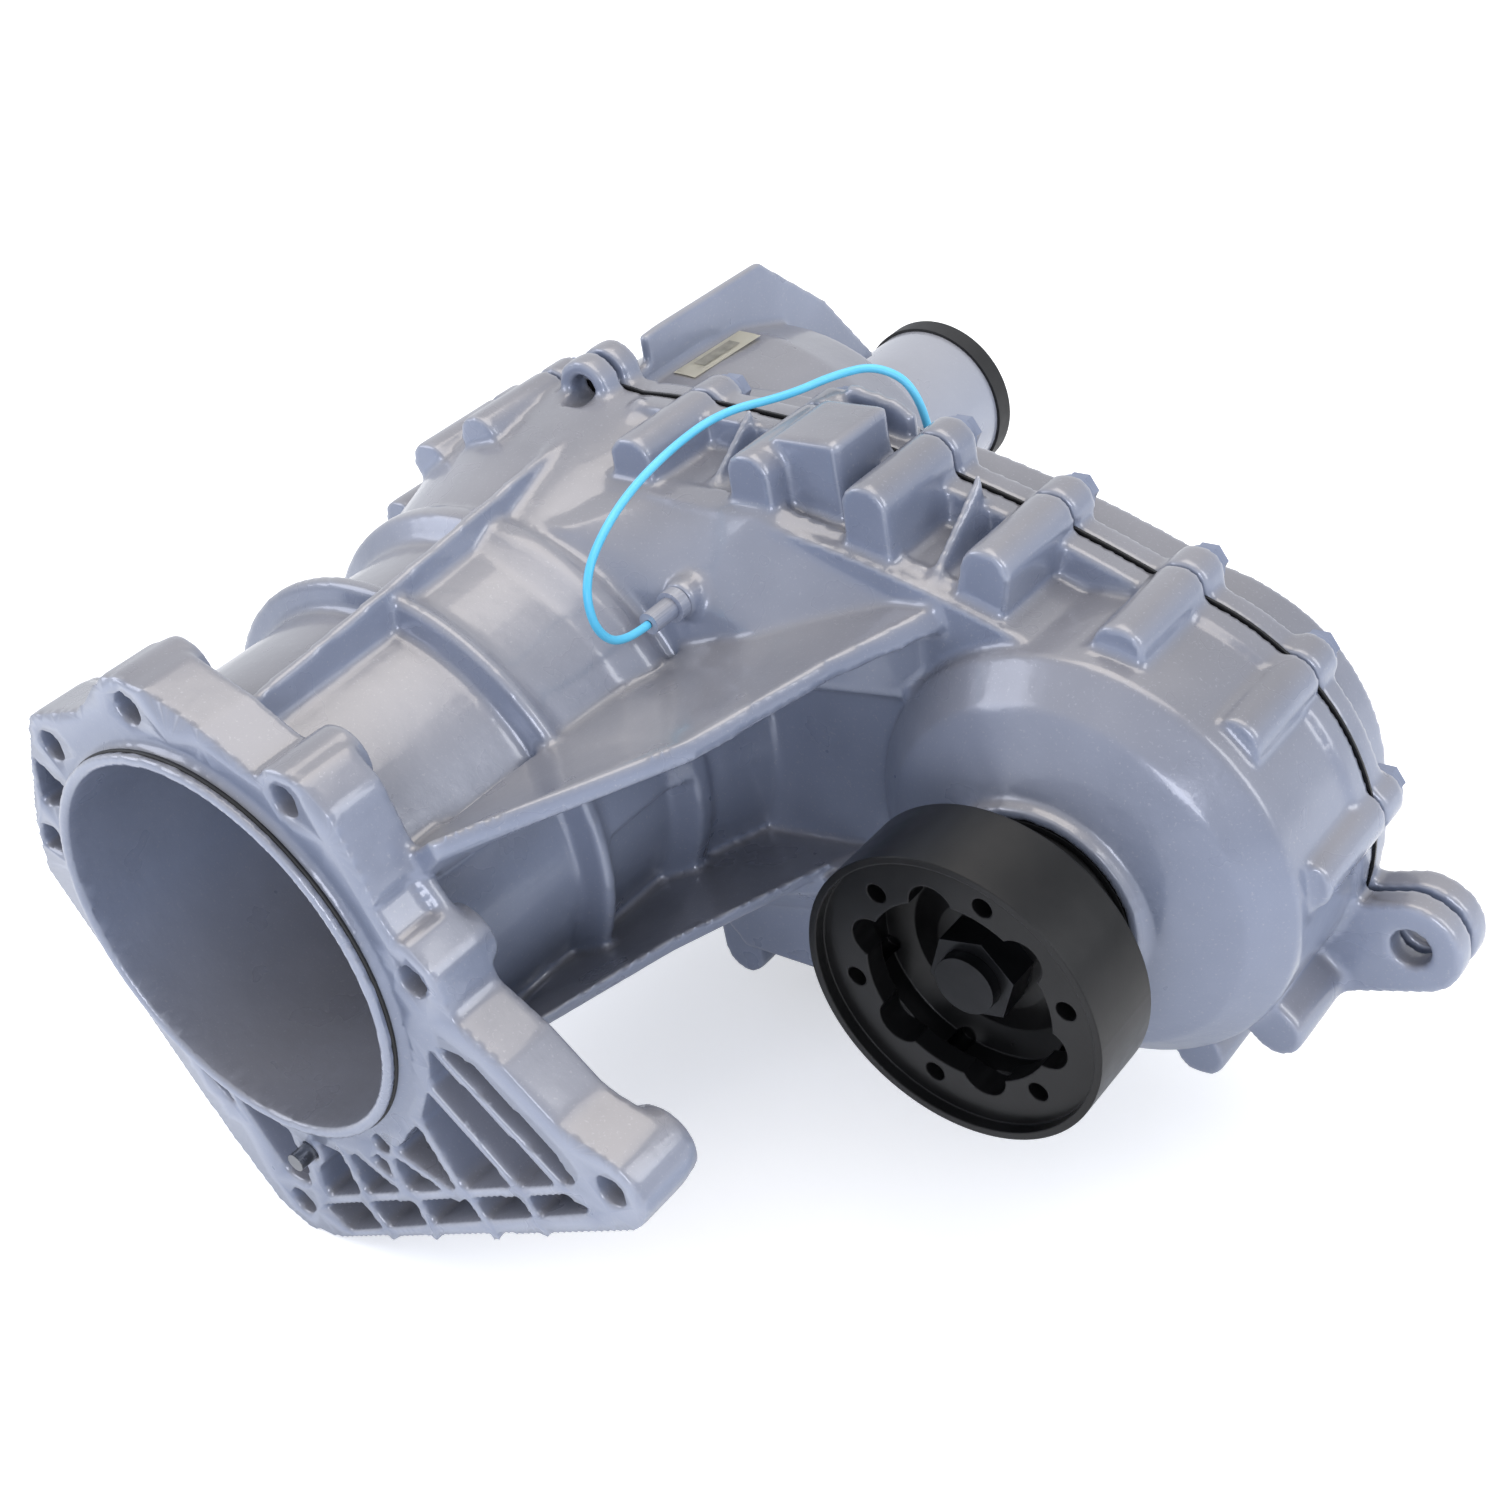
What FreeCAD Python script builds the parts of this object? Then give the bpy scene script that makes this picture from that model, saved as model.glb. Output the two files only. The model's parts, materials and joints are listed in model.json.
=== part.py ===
import FreeCAD, Part
import Sketcher
import math
import os

from FreeCAD import Placement, Rotation, Vector

# Two-speed transfer case, drawn in millimetres.
# Origin: centre of the pilot bore, in the face that bolts to the gearbox.
# +Y runs rearward along the main shaft, +X points to the front output, +Z is up.

# ---------------------------------------------------------------- driving sizes
SIZES = {
    # castings
    "wall": 6.0,
    "seam_y": 257.0,
    "seam_lip": 11.0,
    "sealant_height": 1.0,
    "front_axis_x": 249.3,
    "front_axis_z": -20.9,
    "main_seam_radius": 114.0,
    "front_seam_radius": 90.0,
    "roof_rise": 15.0,
    "sump_depth": 143.0,
    "sump_near_x": 58.0,
    "sump_far_x": 134.0,
    "housing_inset": 14.0,
    "housing_front_y": 204.0,
    "chain_cavity_front_y": 214.0,
    # gearbox adapter
    "adapter_thickness": 26.0,
    "adapter_bolt_radius": 102.0,
    "adapter_bolt_hole_radius": 6.5,
    "adapter_boss_radius": 13.5,
    "adapter_boss_length": 32.0,
    "pilot_bore_radius": 82.0,
    "pilot_outer_radius": 87.0,
    "pilot_length": 8.0,
    "pilot_groove": 1.8,
    "ring_stand": 0.3,
    "lattice_web": 4.5,
    "lattice_depth": 20.0,
    "bell_radius": 88.0,
    "bell_bore_end_radius": 78.0,
    "bell_depth": 148.0,
    "first_ring_y": 99.0,
    "second_ring_y": 160.0,
    "ring_width": 7.0,
    "ring_radius": 100.0,
    "drum_radius": 95.0,
    "web_thickness": 5.0,
    # seam bolts
    "seam_boss_radius": 10.5,
    "seam_boss_front_y": 209.0,
    "rear_boss_length": 16.0,
    "bolt_radius": 4.0,
    "bolt_clearance": 0.1,
    "bolt_length": 46.0,
    "bolt_head_radius": 8.5,
    "bolt_head_height": 8.0,
    # mounting lugs
    "lug_hole_radius": 6.5,
    "lug_thickness": 11.0,
    # rear casting and tube
    "rear_back_y": 300.0,
    "cone_front_radius": 100.0,
    "cone_knee_y": 350.0,
    "cone_knee_radius": 98.0,
    "cone_end_y": 381.0,
    "cone_end_radius": 88.0,
    "hub_end_y": 404.0,
    "hub_radius": 47.0,
    "tube_radius": 38.7,
    "tube_bore": 34.0,
    "tube_end_y": 494.0,
    "fit": 0.03,
    # input shaft and planetary set
    "input_bearing_front_y": 152.0,
    "input_bearing_radius": 45.0,
    "input_bearing_width": 20.0,
    "input_seat_radius": 25.0,
    "input_nose_y": 106.0,
    "input_bore_radius": 16.0,
    "gear_module": 2.0,
    "sun_teeth": 40.0,
    "planet_teeth": 14.0,
    "gear_front_y": 182.0,
    "gear_width": 24.0,
    "ring_gear_radius": 80.0,
    "backlash": 0.22,
    "planet_pin_radius": 6.0,
    "carrier_plate": 5.0,
    "carrier_radius": 64.0,
    # range change
    "sleeve_travel": 10.0,
    "sleeve_bore": 34.1,
    "sleeve_radius": 44.0,
    "sleeve_front_y": 208.0,
    "sleeve_length": 22.0,
    "shift_axis_x": -69.0,
    "shift_axis_z": -55.0,
    "shift_shaft_radius": 7.0,
    "shift_end_length": 21.0,
    "shift_bay_radius": 15.0,
    "dowel_radius": 4.0,
    # main shaft, clutch and chain
    "pilot_journal_radius": 12.0,
    "shaft_radius": 22.0,
    "chain_pitch": 9.525,
    "sprocket_teeth": 38.0,
    "sprocket_tip_radius": 59.4,
    "sprocket_front_y": 242.0,
    "sprocket_width": 32.0,
    "chain_width": 30.0,
    "chain_height": 7.6,
    "chain_clearance": 0.3,
    "clutch_drum_radius": 70.0,
    "clutch_front_y": 284.0,
    "plate_thickness": 1.8,
    "pack_clearance": 0.4,
    "pressure_travel": 1.2,
    "rear_bearing_radius": 40.0,
    "rear_bearing_width": 18.0,
    "rear_seat_radius": 20.0,
    "output_radius": 17.0,
    "yoke_radius": 25.0,
    # front output
    "flange_radius": 60.0,
    "flange_front_y": 108.0,
    "flange_skirt": 34.0,
    "flange_bolt_circle": 45.0,
    "flange_hole_radius": 4.0,
    "flange_hole_count": 6.0,
    "flange_face_recess": 5.0,
    "flange_hub_radius": 30.0,
    "front_hub_radius": 43.0,
    "front_hub_y": 166.0,
    "front_bearing_y": 188.0,
    "front_bearing_radius": 40.0,
    "front_bearing_width": 20.0,
    "front_seat_radius": 20.0,
    "front_spline_radius": 16.0,
    "front_dome_radius": 88.0,
    "tail_bearing_radius": 31.0,
    "tail_seat_radius": 15.0,
    "tail_bearing_y": 280.0,
    "tail_bearing_width": 14.0,
    "nut_radius": 18.0,
    "nut_height": 14.0,
    "plug_radius": 9.0,
    # breather
    "vent_x": 94.0,
    "vent_z": 71.0,
    "vent_seat_y": 176.0,
    "vent_mouth_y": 158.0,
    "vent_radius": 4.5,
    "vent_shank_radius": 3.5,
    "nipple_x": 137.5,
    "nipple_y": 292.0,
    "nipple_top_z": 97.0,
    "nipple_radius": 3.2,
    "hose_radius": 1.7,
    "soft_gap": 0.3,
}

doc = FreeCAD.newDocument("TransferCase")
sheet = doc.addObject("Spreadsheet::Sheet", "Sizes")
for row, (alias, value) in enumerate(SIZES.items(), start=1):
    sheet.set("A%d" % row, alias)
    sheet.set("B%d" % row, str(value))
    sheet.setAlias("B%d" % row, alias)
doc.recompute()


# ---------------------------------------------------------------- sizes with formulas
class Size(float):
    """A number that remembers the sheet formula it came from."""

    def __new__(cls, value, formula):
        made = super().__new__(cls, value)
        made.formula = formula
        return made

    def joined(self, other, sign, value):
        return Size(value, "(%s %s %s)" % (self.formula, sign, formula_of(other)))

    def __add__(self, other):
        return self.joined(other, "+", float(self) + float(other))

    def __sub__(self, other):
        return self.joined(other, "-", float(self) - float(other))

    def __mul__(self, other):
        return self.joined(other, "*", float(self) * float(other))

    def __truediv__(self, other):
        return self.joined(other, "/", float(self) / float(other))

    def __neg__(self):
        return Size(-float(self), "(-1 * %s)" % self.formula)


def formula_of(number):
    return number.formula if isinstance(number, Size) else repr(round(float(number), 6))


def size(alias):
    return Size(sheet.get(alias), "Sizes.%s" % alias)


def bind(thing, prop, number):
    """Sets a property and ties it to the sheet where the number came from there."""
    if isinstance(number, Size):
        thing.setExpression(prop, number.formula)


# ---------------------------------------------------------------- sketches and features
def new_body(name):
    made = doc.addObject("PartDesign::Body", name)
    made.Label = name
    return made


def new_sketch(body, name, role, height, loops):
    """A sketch on one of the body's own origin planes, lifted along its normal.

    A loop is ("circle", u, v, radius), a list of corner points (u, v), or a ready
    list of edges from rounded() or case_outline()."""
    sketch = body.newObject("Sketcher::SketchObject", name)
    plane = [part for part in body.Origin.OriginFeatures if part.Role == role][0]
    sketch.AttachmentSupport = (plane, [""])
    sketch.MapMode = "FlatFace"
    sketch.AttachmentOffset = Placement(Vector(0, 0, float(height)), Rotation())
    bind(sketch, "AttachmentOffset.Base.z", height)
    for loop in loops:
        if loop[0] == "circle":
            draw_circle(sketch, *loop[1:])
        elif isinstance(loop[0], tuple):
            draw_corners(sketch, loop)
        else:
            sketch.addGeometry(loop, False)
    return sketch


def draw_circle(sketch, u, v, radius):
    circle = Part.Circle(Vector(float(u), float(v), 0), Vector(0, 0, 1), float(radius))
    where = sketch.addGeometry(circle, False)
    datums = [("Radius", (where,), radius)]
    datums.append(("DistanceX", (-1, 1, where, 3), u))
    datums.append(("DistanceY", (-1, 1, where, 3), v))
    for kind, ends, number in datums:
        index = sketch.addConstraint(Sketcher.Constraint(kind, *ends, float(number)))
        bind(sketch, "Constraints[%d]" % index, number)


def draw_corners(sketch, corners):
    count = len(corners)
    points = [Vector(float(u), float(v), 0) for u, v in corners]
    lines = [Part.LineSegment(points[i], points[(i + 1) % count]) for i in range(count)]
    first = sketch.addGeometry(lines, False)[0]
    for i in range(count):
        following = first + (i + 1) % count
        sketch.addConstraint(Sketcher.Constraint("Coincident", first + i, 2, following, 1))
    for i, (u, v) in enumerate(corners):
        for kind, number in (("DistanceX", u), ("DistanceY", v)):
            rule = Sketcher.Constraint(kind, -1, 1, first + i, 1, float(number))
            index = sketch.addConstraint(rule)
            bind(sketch, "Constraints[%d]" % index, number)


def rounded(corners):
    """Edges of a polygon whose corners (u, v, radius) are rounded."""
    count = len(corners)
    ends = []
    for i, (u, v, radius) in enumerate(corners):
        here = Vector(float(u), float(v), 0)
        before = Vector(float(corners[i - 1][0]), float(corners[i - 1][1]), 0) - here
        after_point = corners[(i + 1) % count]
        after = Vector(float(after_point[0]), float(after_point[1]), 0) - here
        half = before.getAngle(after) / 2
        reach = float(radius) / math.tan(half)
        reach = min(reach, 0.45 * before.Length, 0.45 * after.Length)
        before.normalize()
        after.normalize()
        middle = (before + after).normalize()
        bend = reach * math.tan(half)
        depth = bend / math.sin(half) - bend
        ends.append((here + before * reach, here + middle * depth, here + after * reach))
    edges = []
    for i in range(count):
        start, top, end = ends[i]
        edges.append(Part.Arc(start, top, end))
        edges.append(Part.LineSegment(end, ends[(i + 1) % count][0]))
    return edges


def pad(body, name, sketch, length, towards_rear=True):
    feature = body.newObject("PartDesign::Pad", name)
    feature.Profile = sketch
    feature.Length = float(length)
    feature.Reversed = towards_rear
    feature.Refine = False
    bind(feature, "Length", length)
    return feature


def pad_y(body, name, front_y, back_y, loops):
    """Pads loops drawn in X and Z from front_y to back_y."""
    sketch = new_sketch(body, name + "_sketch", "XZ_Plane", -front_y, loops)
    return pad(body, name, sketch, back_y - front_y)


def pocket_y(body, name, front_y, back_y, loops):
    """Cuts loops drawn in X and Z from front_y to back_y."""
    sketch = new_sketch(body, name + "_sketch", "XZ_Plane", -front_y, loops)
    feature = body.newObject("PartDesign::Pocket", name)
    feature.Profile = sketch
    feature.Length = float(back_y - front_y)
    feature.Refine = False
    bind(feature, "Length", back_y - front_y)
    return feature


def revolve(body, name, corners, angle=360.0, upward=False):
    """Turns a profile of (radius, y) corners about the Y axis."""
    sketch = new_sketch(body, name + "_sketch", "XY_Plane", 0.0, [corners])
    feature = body.newObject("PartDesign::Revolution", name)
    feature.Profile = sketch
    feature.ReferenceAxis = (sketch, ["V_Axis"])
    feature.Angle = angle
    feature.Reversed = upward
    return feature


def loft_y(body, name, sections):
    """Joins sections (y, corners) with straight faces."""
    sketches = []
    for number, (y, corners) in enumerate(sections):
        label = "%s_section_%d" % (name, number)
        sketches.append(new_sketch(body, label, "XZ_Plane", -y, [corners]))
    feature = body.newObject("PartDesign::AdditiveLoft", name)
    feature.Profile = sketches[0]
    feature.Sections = sketches[1:]
    feature.Ruled = True
    feature.Refine = False
    return feature


def cone_y(body, name, x, z, front_y, back_y, front_radius, back_radius):
    """Adds a frustum about an axis parallel to Y."""
    feature = body.newObject("PartDesign::AdditiveCone", name)
    plane = [part for part in body.Origin.OriginFeatures if part.Role == "XZ_Plane"][0]
    feature.AttachmentSupport = (plane, [""])
    feature.MapMode = "FlatFace"
    feature.AttachmentOffset = Placement(Vector(float(x), float(z), -float(back_y)), Rotation())
    bind(feature, "AttachmentOffset.Base.x", x)
    bind(feature, "AttachmentOffset.Base.y", z)
    bind(feature, "AttachmentOffset.Base.z", -back_y)
    for prop, number in (
        ("Radius1", back_radius),
        ("Radius2", front_radius),
        ("Height", back_y - front_y),
    ):
        setattr(feature, prop, float(number))
        bind(feature, prop, number)
    return feature


def turned(name, corners):
    """A turned piece about the main axis, from its (radius, y) profile."""
    body = new_body(name)
    revolve(body, name + "_turned", corners)
    return body


def ring_piece(name, inner, outer, front_y, back_y):
    corners = [(inner, front_y), (outer, front_y), (outer, back_y), (inner, back_y)]
    return turned(name, corners)


def to_front_axis(body):
    body.Placement = Placement(Vector(float(front_x), 0, float(front_z)), Rotation())
    bind(body, "Placement.Base.x", front_x)
    bind(body, "Placement.Base.z", front_z)
    return body


def group(name, shapes):
    """Separate solids that share one node."""
    made = doc.addObject("Part::Feature", name)
    made.Label = name
    made.Shape = Part.makeCompound(shapes)
    return made


def polar(radius, degrees, centre=(0.0, 0.0)):
    angle = math.radians(degrees)
    return (centre[0] + radius * math.cos(angle), centre[1] + radius * math.sin(angle))


# ---------------------------------------------------------------- shared places
front_x = size("front_axis_x")
front_z = size("front_axis_z")
front_centre = (float(front_x), float(front_z))
seam_y = size("seam_y")
rear_seam_y = seam_y + size("sealant_height")
fit = size("fit")
wall = size("wall")
main_seam = size("main_seam_radius")
front_seam = size("front_seam_radius")
bolt_hole = size("bolt_radius") + size("bolt_clearance")


def case_outline(inset):
    """The parting-line shape, drawn inward by inset: two rounds, a bulged roof, a sump."""
    main_radius = float(main_seam) - float(inset)
    front_radius = float(front_seam) - float(inset)
    distance = math.hypot(*front_centre)
    heading = math.degrees(math.atan2(front_centre[1], front_centre[0]))
    spread = math.degrees(math.acos((main_radius - front_radius) / distance))
    top = heading + spread
    roof_start = Vector(*polar(main_radius, top), 0)
    roof_end = Vector(*polar(front_radius, top, front_centre), 0)
    outward = Vector(*polar(float(size("roof_rise")), top), 0)
    crown = (roof_start + roof_end) * 0.5 + outward
    floor = float(inset) - float(size("sump_depth"))
    main_foot = Vector(*polar(main_radius, -68), 0)
    front_foot = Vector(*polar(front_radius, -104, front_centre), 0)
    corner_near = Vector(float(size("sump_near_x")) + float(inset) / 2, floor, 0)
    corner_far = Vector(float(size("sump_far_x")) - float(inset) / 2, floor, 0)
    left = Vector(*polar(main_radius, 180), 0)
    right = Vector(*polar(front_radius, -10, front_centre), 0)
    return [
        Part.Arc(roof_start, left, main_foot),
        Part.LineSegment(main_foot, corner_near),
        Part.LineSegment(corner_near, corner_far),
        Part.LineSegment(corner_far, front_foot),
        Part.Arc(front_foot, right, roof_end),
        Part.Arc(roof_end, crown, roof_start),
    ]


# Bolts round the parting line, with the direction that each boss hangs inward.
SEAM_BOLTS = [(*polar(110.0, angle), angle) for angle in (107, 127, 150, 182, 214, 246)]
SEAM_BOLTS += [(52.0, 108.0, 90), (111.0, 110.0, 90), (164.0, 105.0, 88), (214.0, 88.0, 75)]
SEAM_BOLTS += [(*polar(radius, angle, front_centre), angle)
               for radius, angle in ((90.0, 79), (85.0, 45), (85.0, 5))]
SEAM_BOLTS += [(*polar(97.0, angle, front_centre), angle) for angle in (-43, -67)]
SEAM_BOLTS += [(58.0, -138.0, -90), (134.0, -139.0, -90), (197.0, -117.0, -110)]


def boss_shape(x, z, angle, radius, hang):
    """A round-headed boss that hangs back to the wall it stands on."""
    out = Vector(*polar(1.0, angle), 0)
    side = Vector(-out.y, out.x, 0)
    centre = Vector(x, z, 0)
    left = centre + side * radius
    right = centre - side * radius
    return [
        Part.Arc(right, centre + out * radius, left),
        Part.LineSegment(left, left - out * hang),
        Part.LineSegment(left - out * hang, right - out * hang),
        Part.LineSegment(right - out * hang, right),
    ]


# ---------------------------------------------------------------- front casting
ADAPTER_OUTLINE = [
    (-83, 82, 8), (-92, 64, 6), (-109, 26, 6), (-115, 0, 8), (-106, -18, 10), (-79, -73, 10),
    (-55, -119, 10), (-35, -151, 12), (-20, -159, 8), (0, -156, 8), (184, -66, 12),
    (193, -52, 10), (183, -37, 12), (158, -29, 14), (137, -9, 12), (116, 5, 8), (114, 22, 8),
    (103, 34, 6), (93, 50, 8), (84, 82, 8), (72, 94, 8), (52, 87, 12), (26, 102, 10),
    (-2, 113, 10), (-24, 113, 8), (-48, 92, 12),
]
ADAPTER_BOLTS = [polar(float(size("adapter_bolt_radius")), angle) for angle in (9, 53, 98, 137)]
ADAPTER_EARS = [(-18.0, -143.0), (175.0, -51.0)]
LATTICE_FIELDS = [
    [(4, -99), (22, -99), (40, -94), (62, -78), (80, -58), (93, -34), (99, -12), (120, -14),
     (150, -42), (158, -55), (0, -132)],
    [(-4, -139), (150, -64), (164, -66), (8, -148)],
    [(-10, -100), (-4, -130), (-22, -128), (-40, -104), (-66, -74), (-46, -88)],
]
# Ribs of one row never meet, so that each row is one sketch.
LATTICE_RIBS = [
    [((-2, -96), (-6, -136)), ((22, -92), (28, -124)), ((50, -82), (56, -110)),
     ((78, -58), (92, -92)), ((90, -36), (128, -76)), ((97, -12), (152, -62)),
     ((-44, -88), (-24, -128))],
    [((28, -92), (62, -108)), ((50, -82), (90, -94)), ((24, -120), (38, -140)),
     ((124, -70), (134, -92))],
    [((92, -86), (104, -108)), ((60, -102), (66, -126))],
]
ADAPTER_POCKETS = [
    [(-92, 60), (-78, 50), (-80, 40), (-98, 36)],
    [(-106, 24), (-96, 24), (-96, 12), (-110, 12)],
    [(92, 46), (99, 32), (104, 34), (96, 50)],
]


def strip(start, end, width):
    """A rectangle of the given width along a line."""
    a = Vector(*start, 0)
    b = Vector(*end, 0)
    along = (b - a).normalize()
    side = Vector(-along.y, along.x, 0) * (float(width) / 2)
    corners = [a + side, b + side, b - side, a - side]
    return [Part.LineSegment(corners[i], corners[(i + 1) % 4]) for i in range(4)]


def closed(corners):
    points = [Vector(u, v, 0) for u, v in corners]
    return [Part.LineSegment(points[i], points[(i + 1) % len(points)]) for i in range(len(points))]


def build_front_case():
    body = new_body("front_case")
    bell = size("bell_radius")
    depth = size("bell_depth")
    ring_1 = size("first_ring_y")
    ring_2 = size("second_ring_y")
    ring_width = size("ring_width")
    ring_radius = size("ring_radius")
    pilot_end = -size("pilot_length")
    pilot = size("pilot_outer_radius")
    groove = size("pilot_groove")
    bearing_y = size("input_bearing_front_y")
    bearing_bore = size("input_bearing_radius") + fit
    gear_bore = size("ring_gear_radius") + fit
    gear_back = size("gear_front_y") + size("gear_width") + 2.0
    hub_back = bearing_y + size("input_bearing_width") + 3.0
    revolve(body, "bell", [
        (size("pilot_bore_radius"), pilot_end),
        (pilot, pilot_end),
        (pilot, pilot_end / 2 - groove),
        (pilot - groove, pilot_end / 2 - groove),
        (pilot - groove, pilot_end / 2 + groove),
        (pilot, pilot_end / 2 + groove),
        (pilot, Size(0, "0")),
        (bell, Size(0, "0")),
        (bell, ring_1),
        (ring_radius, ring_1 + 2.0),
        (ring_radius, ring_1 + ring_width),
        (bell + 1.0, ring_1 + ring_width + 8.0),
        (bell + 1.0, ring_2 - 6.0),
        (ring_radius, ring_2),
        (ring_radius, ring_2 + ring_width),
        (ring_radius - 3.0, ring_2 + ring_width + 4.0),
        (main_seam - 6.0, size("seam_boss_front_y")),
        (main_seam, seam_y - size("seam_lip")),
        (main_seam, seam_y),
        (main_seam - 20.0, seam_y),
        (main_seam - 20.0, gear_back),
        (gear_bore, gear_back),
        (gear_bore, hub_back),
        (bearing_bore, hub_back),
        (bearing_bore, bearing_y),
        (bearing_bore - 4.0, bearing_y),
        (bearing_bore - 4.0, depth),
        (size("bell_bore_end_radius"), depth),
        (size("pilot_bore_radius") - 1.5, size("adapter_thickness")),
    ])
    revolve(body, "drum", [
        (bell - 3.0, ring_1 + 1.0),
        (size("drum_radius") + 3.0, ring_1 + 4.0),
        (size("drum_radius"), ring_1 + 14.0),
        (size("drum_radius"), ring_2 - 12.0),
        (ring_radius, ring_2 + 1.0),
        (bell - 3.0, ring_2 + 1.0),
    ], 84.0, True)
    pad_y(body, "adapter_plate", Size(0, "0"), size("adapter_thickness"),
          [rounded(ADAPTER_OUTLINE), ("circle", 0.0, 0.0, bell - 2.0)])
    bosses = [("circle", x, z, size("adapter_boss_radius")) for x, z in ADAPTER_BOLTS]
    bosses += [("circle", x, z, size("adapter_boss_radius") + 1.5) for x, z in ADAPTER_EARS]
    pad_y(body, "adapter_bosses", Size(0, "0"), size("adapter_boss_length"), bosses)
    pad_y(body, "seam_flange", seam_y - size("seam_lip"), seam_y, [case_outline(0.0)])
    housing_front = size("housing_front_y")
    pad_y(body, "chain_housing", housing_front, seam_y,
          [case_outline(size("housing_inset"))])
    dome = size("front_dome_radius")
    hub = size("front_hub_radius")
    hub_y = size("front_hub_y")
    pad_y(body, "front_hub", hub_y, hub_y + 40.0, [("circle", front_x, front_z, hub)])
    cone_y(body, "dome_neck", front_x, front_z, hub_y + 6.0, hub_y + 19.0, hub + 3.0, dome - 14.0)
    cone_y(body, "dome_shoulder", front_x, front_z, hub_y + 19.0, hub_y + 33.0, dome - 14.0, dome)
    pad_y(body, "dome_skirt", hub_y + 33.0, seam_y, [("circle", front_x, front_z, dome)])
    loft_y(body, "shoulder", [
        (ring_2 + 16.0, [(4, 60), (4, 97), (38, 93), (70, 72), (92, 46), (92, 40), (60, 18)]),
        (housing_front - 22.0,
         [(4, 60), (4, 97), (45, 93), (94, 71), (140, 55), (140, 40), (60, 18)]),
        (housing_front + 2.0,
         [(4, 60), (4, 97), (60, 98), (116, 98), (192, 70), (192, 30), (60, 18)]),
        (housing_front + 11.0,
         [(4, 60), (4, 99), (60, 100), (112, 101), (204, 80), (204, 20), (60, 18)]),
    ])
    loft_y(body, "wing", [
        (22.0, [(78, 28), (78, 44), (104, 63), (106, 55)]),
        (105.0, [(82, 30), (82, 47), (153, 65), (155, 57)]),
        (163.0, [(84, 34), (84, 45), (171, 68), (173, 60)]),
        (216.0, [(120, 60), (120, 70), (202, 76), (206, 66)]),
    ])
    loft_y(body, "lower_web", [
        (22.0, [(52, -74), (58, -66), (104, -30), (100, -38)]),
        (109.0, [(58, -80), (62, -72), (120, -36), (118, -44)]),
        (housing_front + 2.0, [(58, -88), (62, -80), (146, -48), (142, -56)]),
    ])
    loft_y(body, "chain_shelf", [
        (housing_front - 24.0, [(69, -82), (69, -74), (142, -50), (150, -54)]),
        (housing_front + 6.0, [(56, -112), (60, -74), (150, -48), (176, -84)]),
    ])
    half_web = float(size("web_thickness")) / 2
    loft_y(body, "long_web", [
        (22.0, [(22 - half_web, 78), (22 - half_web, 98), (22 + half_web, 98), (22 + half_web, 78)]),
        (120.0, [(17 - half_web, 78), (17 - half_web, 104), (17 + half_web, 104),
                 (17 + half_web, 78)]),
        (250.0, [(6 - half_web, 84), (6 - half_web, 111), (6 + half_web, 111), (6 + half_web, 84)]),
    ])
    vent_x = size("vent_x")
    vent_z = size("vent_z")
    vent_seat = size("vent_seat_y")
    pad_y(body, "vent_boss", vent_seat, vent_seat + 14.0,
          [("circle", vent_x, vent_z, size("vent_radius") + 3.0)])
    radius = float(size("seam_boss_radius"))
    shapes = [boss_shape(x, z, angle, radius, 22.0) for x, z, angle in SEAM_BOLTS]
    pad_y(body, "seam_bosses", size("seam_boss_front_y"), seam_y, shapes)
    pad_y(body, "roof_block", size("seam_boss_front_y") + 12.0, seam_y,
          [closed([(116, 88), (116, 123), (146, 124), (146, 88)])])
    pad_y(body, "upper_lug", seam_y - size("lug_thickness"), seam_y,
          [boss_shape(-3.0, 115.0, 90, 13.0, 24.0)])
    pad_y(body, "right_lug", seam_y - size("lug_thickness"), seam_y,
          [boss_shape(357.0, -62.0, 18, 20.0, 52.0)])
    # insides
    pocket_y(body, "gear_chamber", hub_back, gear_back + 1.0, [("circle", 0.0, 0.0, gear_bore)])
    pocket_y(body, "main_cavity", gear_back, seam_y + 1.0,
             [("circle", 0.0, 0.0, main_seam - 20.0)])
    pocket_y(body, "chain_cavity", size("chain_cavity_front_y"), seam_y + 1.0,
             [case_outline(size("housing_inset") + wall)])
    front_bore = size("front_bearing_radius") + fit
    bearing_y = size("front_bearing_y")
    pocket_y(body, "front_bearing_bore", bearing_y, size("chain_cavity_front_y") + 1.0,
             [("circle", front_x, front_z, front_bore)])
    pocket_y(body, "front_seal_bore", hub_y - 1.0, bearing_y - 4.0,
             [("circle", front_x, front_z, front_bore - 2.0)])
    pocket_y(body, "front_shaft_bore", bearing_y - 5.0, bearing_y + 1.0,
             [("circle", front_x, front_z, front_bore - 6.0)])
    holes = [("circle", x, z, size("adapter_bolt_hole_radius")) for x, z in ADAPTER_BOLTS]
    holes += [("circle", x, z, size("adapter_bolt_hole_radius")) for x, z in ADAPTER_EARS]
    pocket_y(body, "adapter_holes", Size(-1, "-1"), size("adapter_boss_length") + 1.0, holes)
    pocket_y(body, "seam_threads", seam_y + size("rear_boss_length") - size("bolt_length") - 1.0,
             seam_y + 1.0, [("circle", x, z, bolt_hole) for x, z, angle in SEAM_BOLTS])
    pocket_y(body, "upper_lug_hole", seam_y - 20.0, seam_y + 1.0,
             [("circle", -3.0, 115.0, size("lug_hole_radius"))])
    pocket_y(body, "right_lug_hole", seam_y - 20.0, seam_y + 1.0,
             [("circle", 357.0, -62.0, size("lug_hole_radius") + 1.5)])
    shift_bore = size("shift_shaft_radius") + fit
    shift_x = size("shift_axis_x")
    shift_z = size("shift_axis_z")
    pocket_y(body, "shift_shaft_seat", gear_back - 14.0, gear_back + 4.0,
             [("circle", shift_x, shift_z, shift_bore)])
    pocket_y(body, "shift_bay", gear_back + 1.0, seam_y + 1.0,
             [("circle", shift_x, shift_z, size("shift_bay_radius"))])
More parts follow.
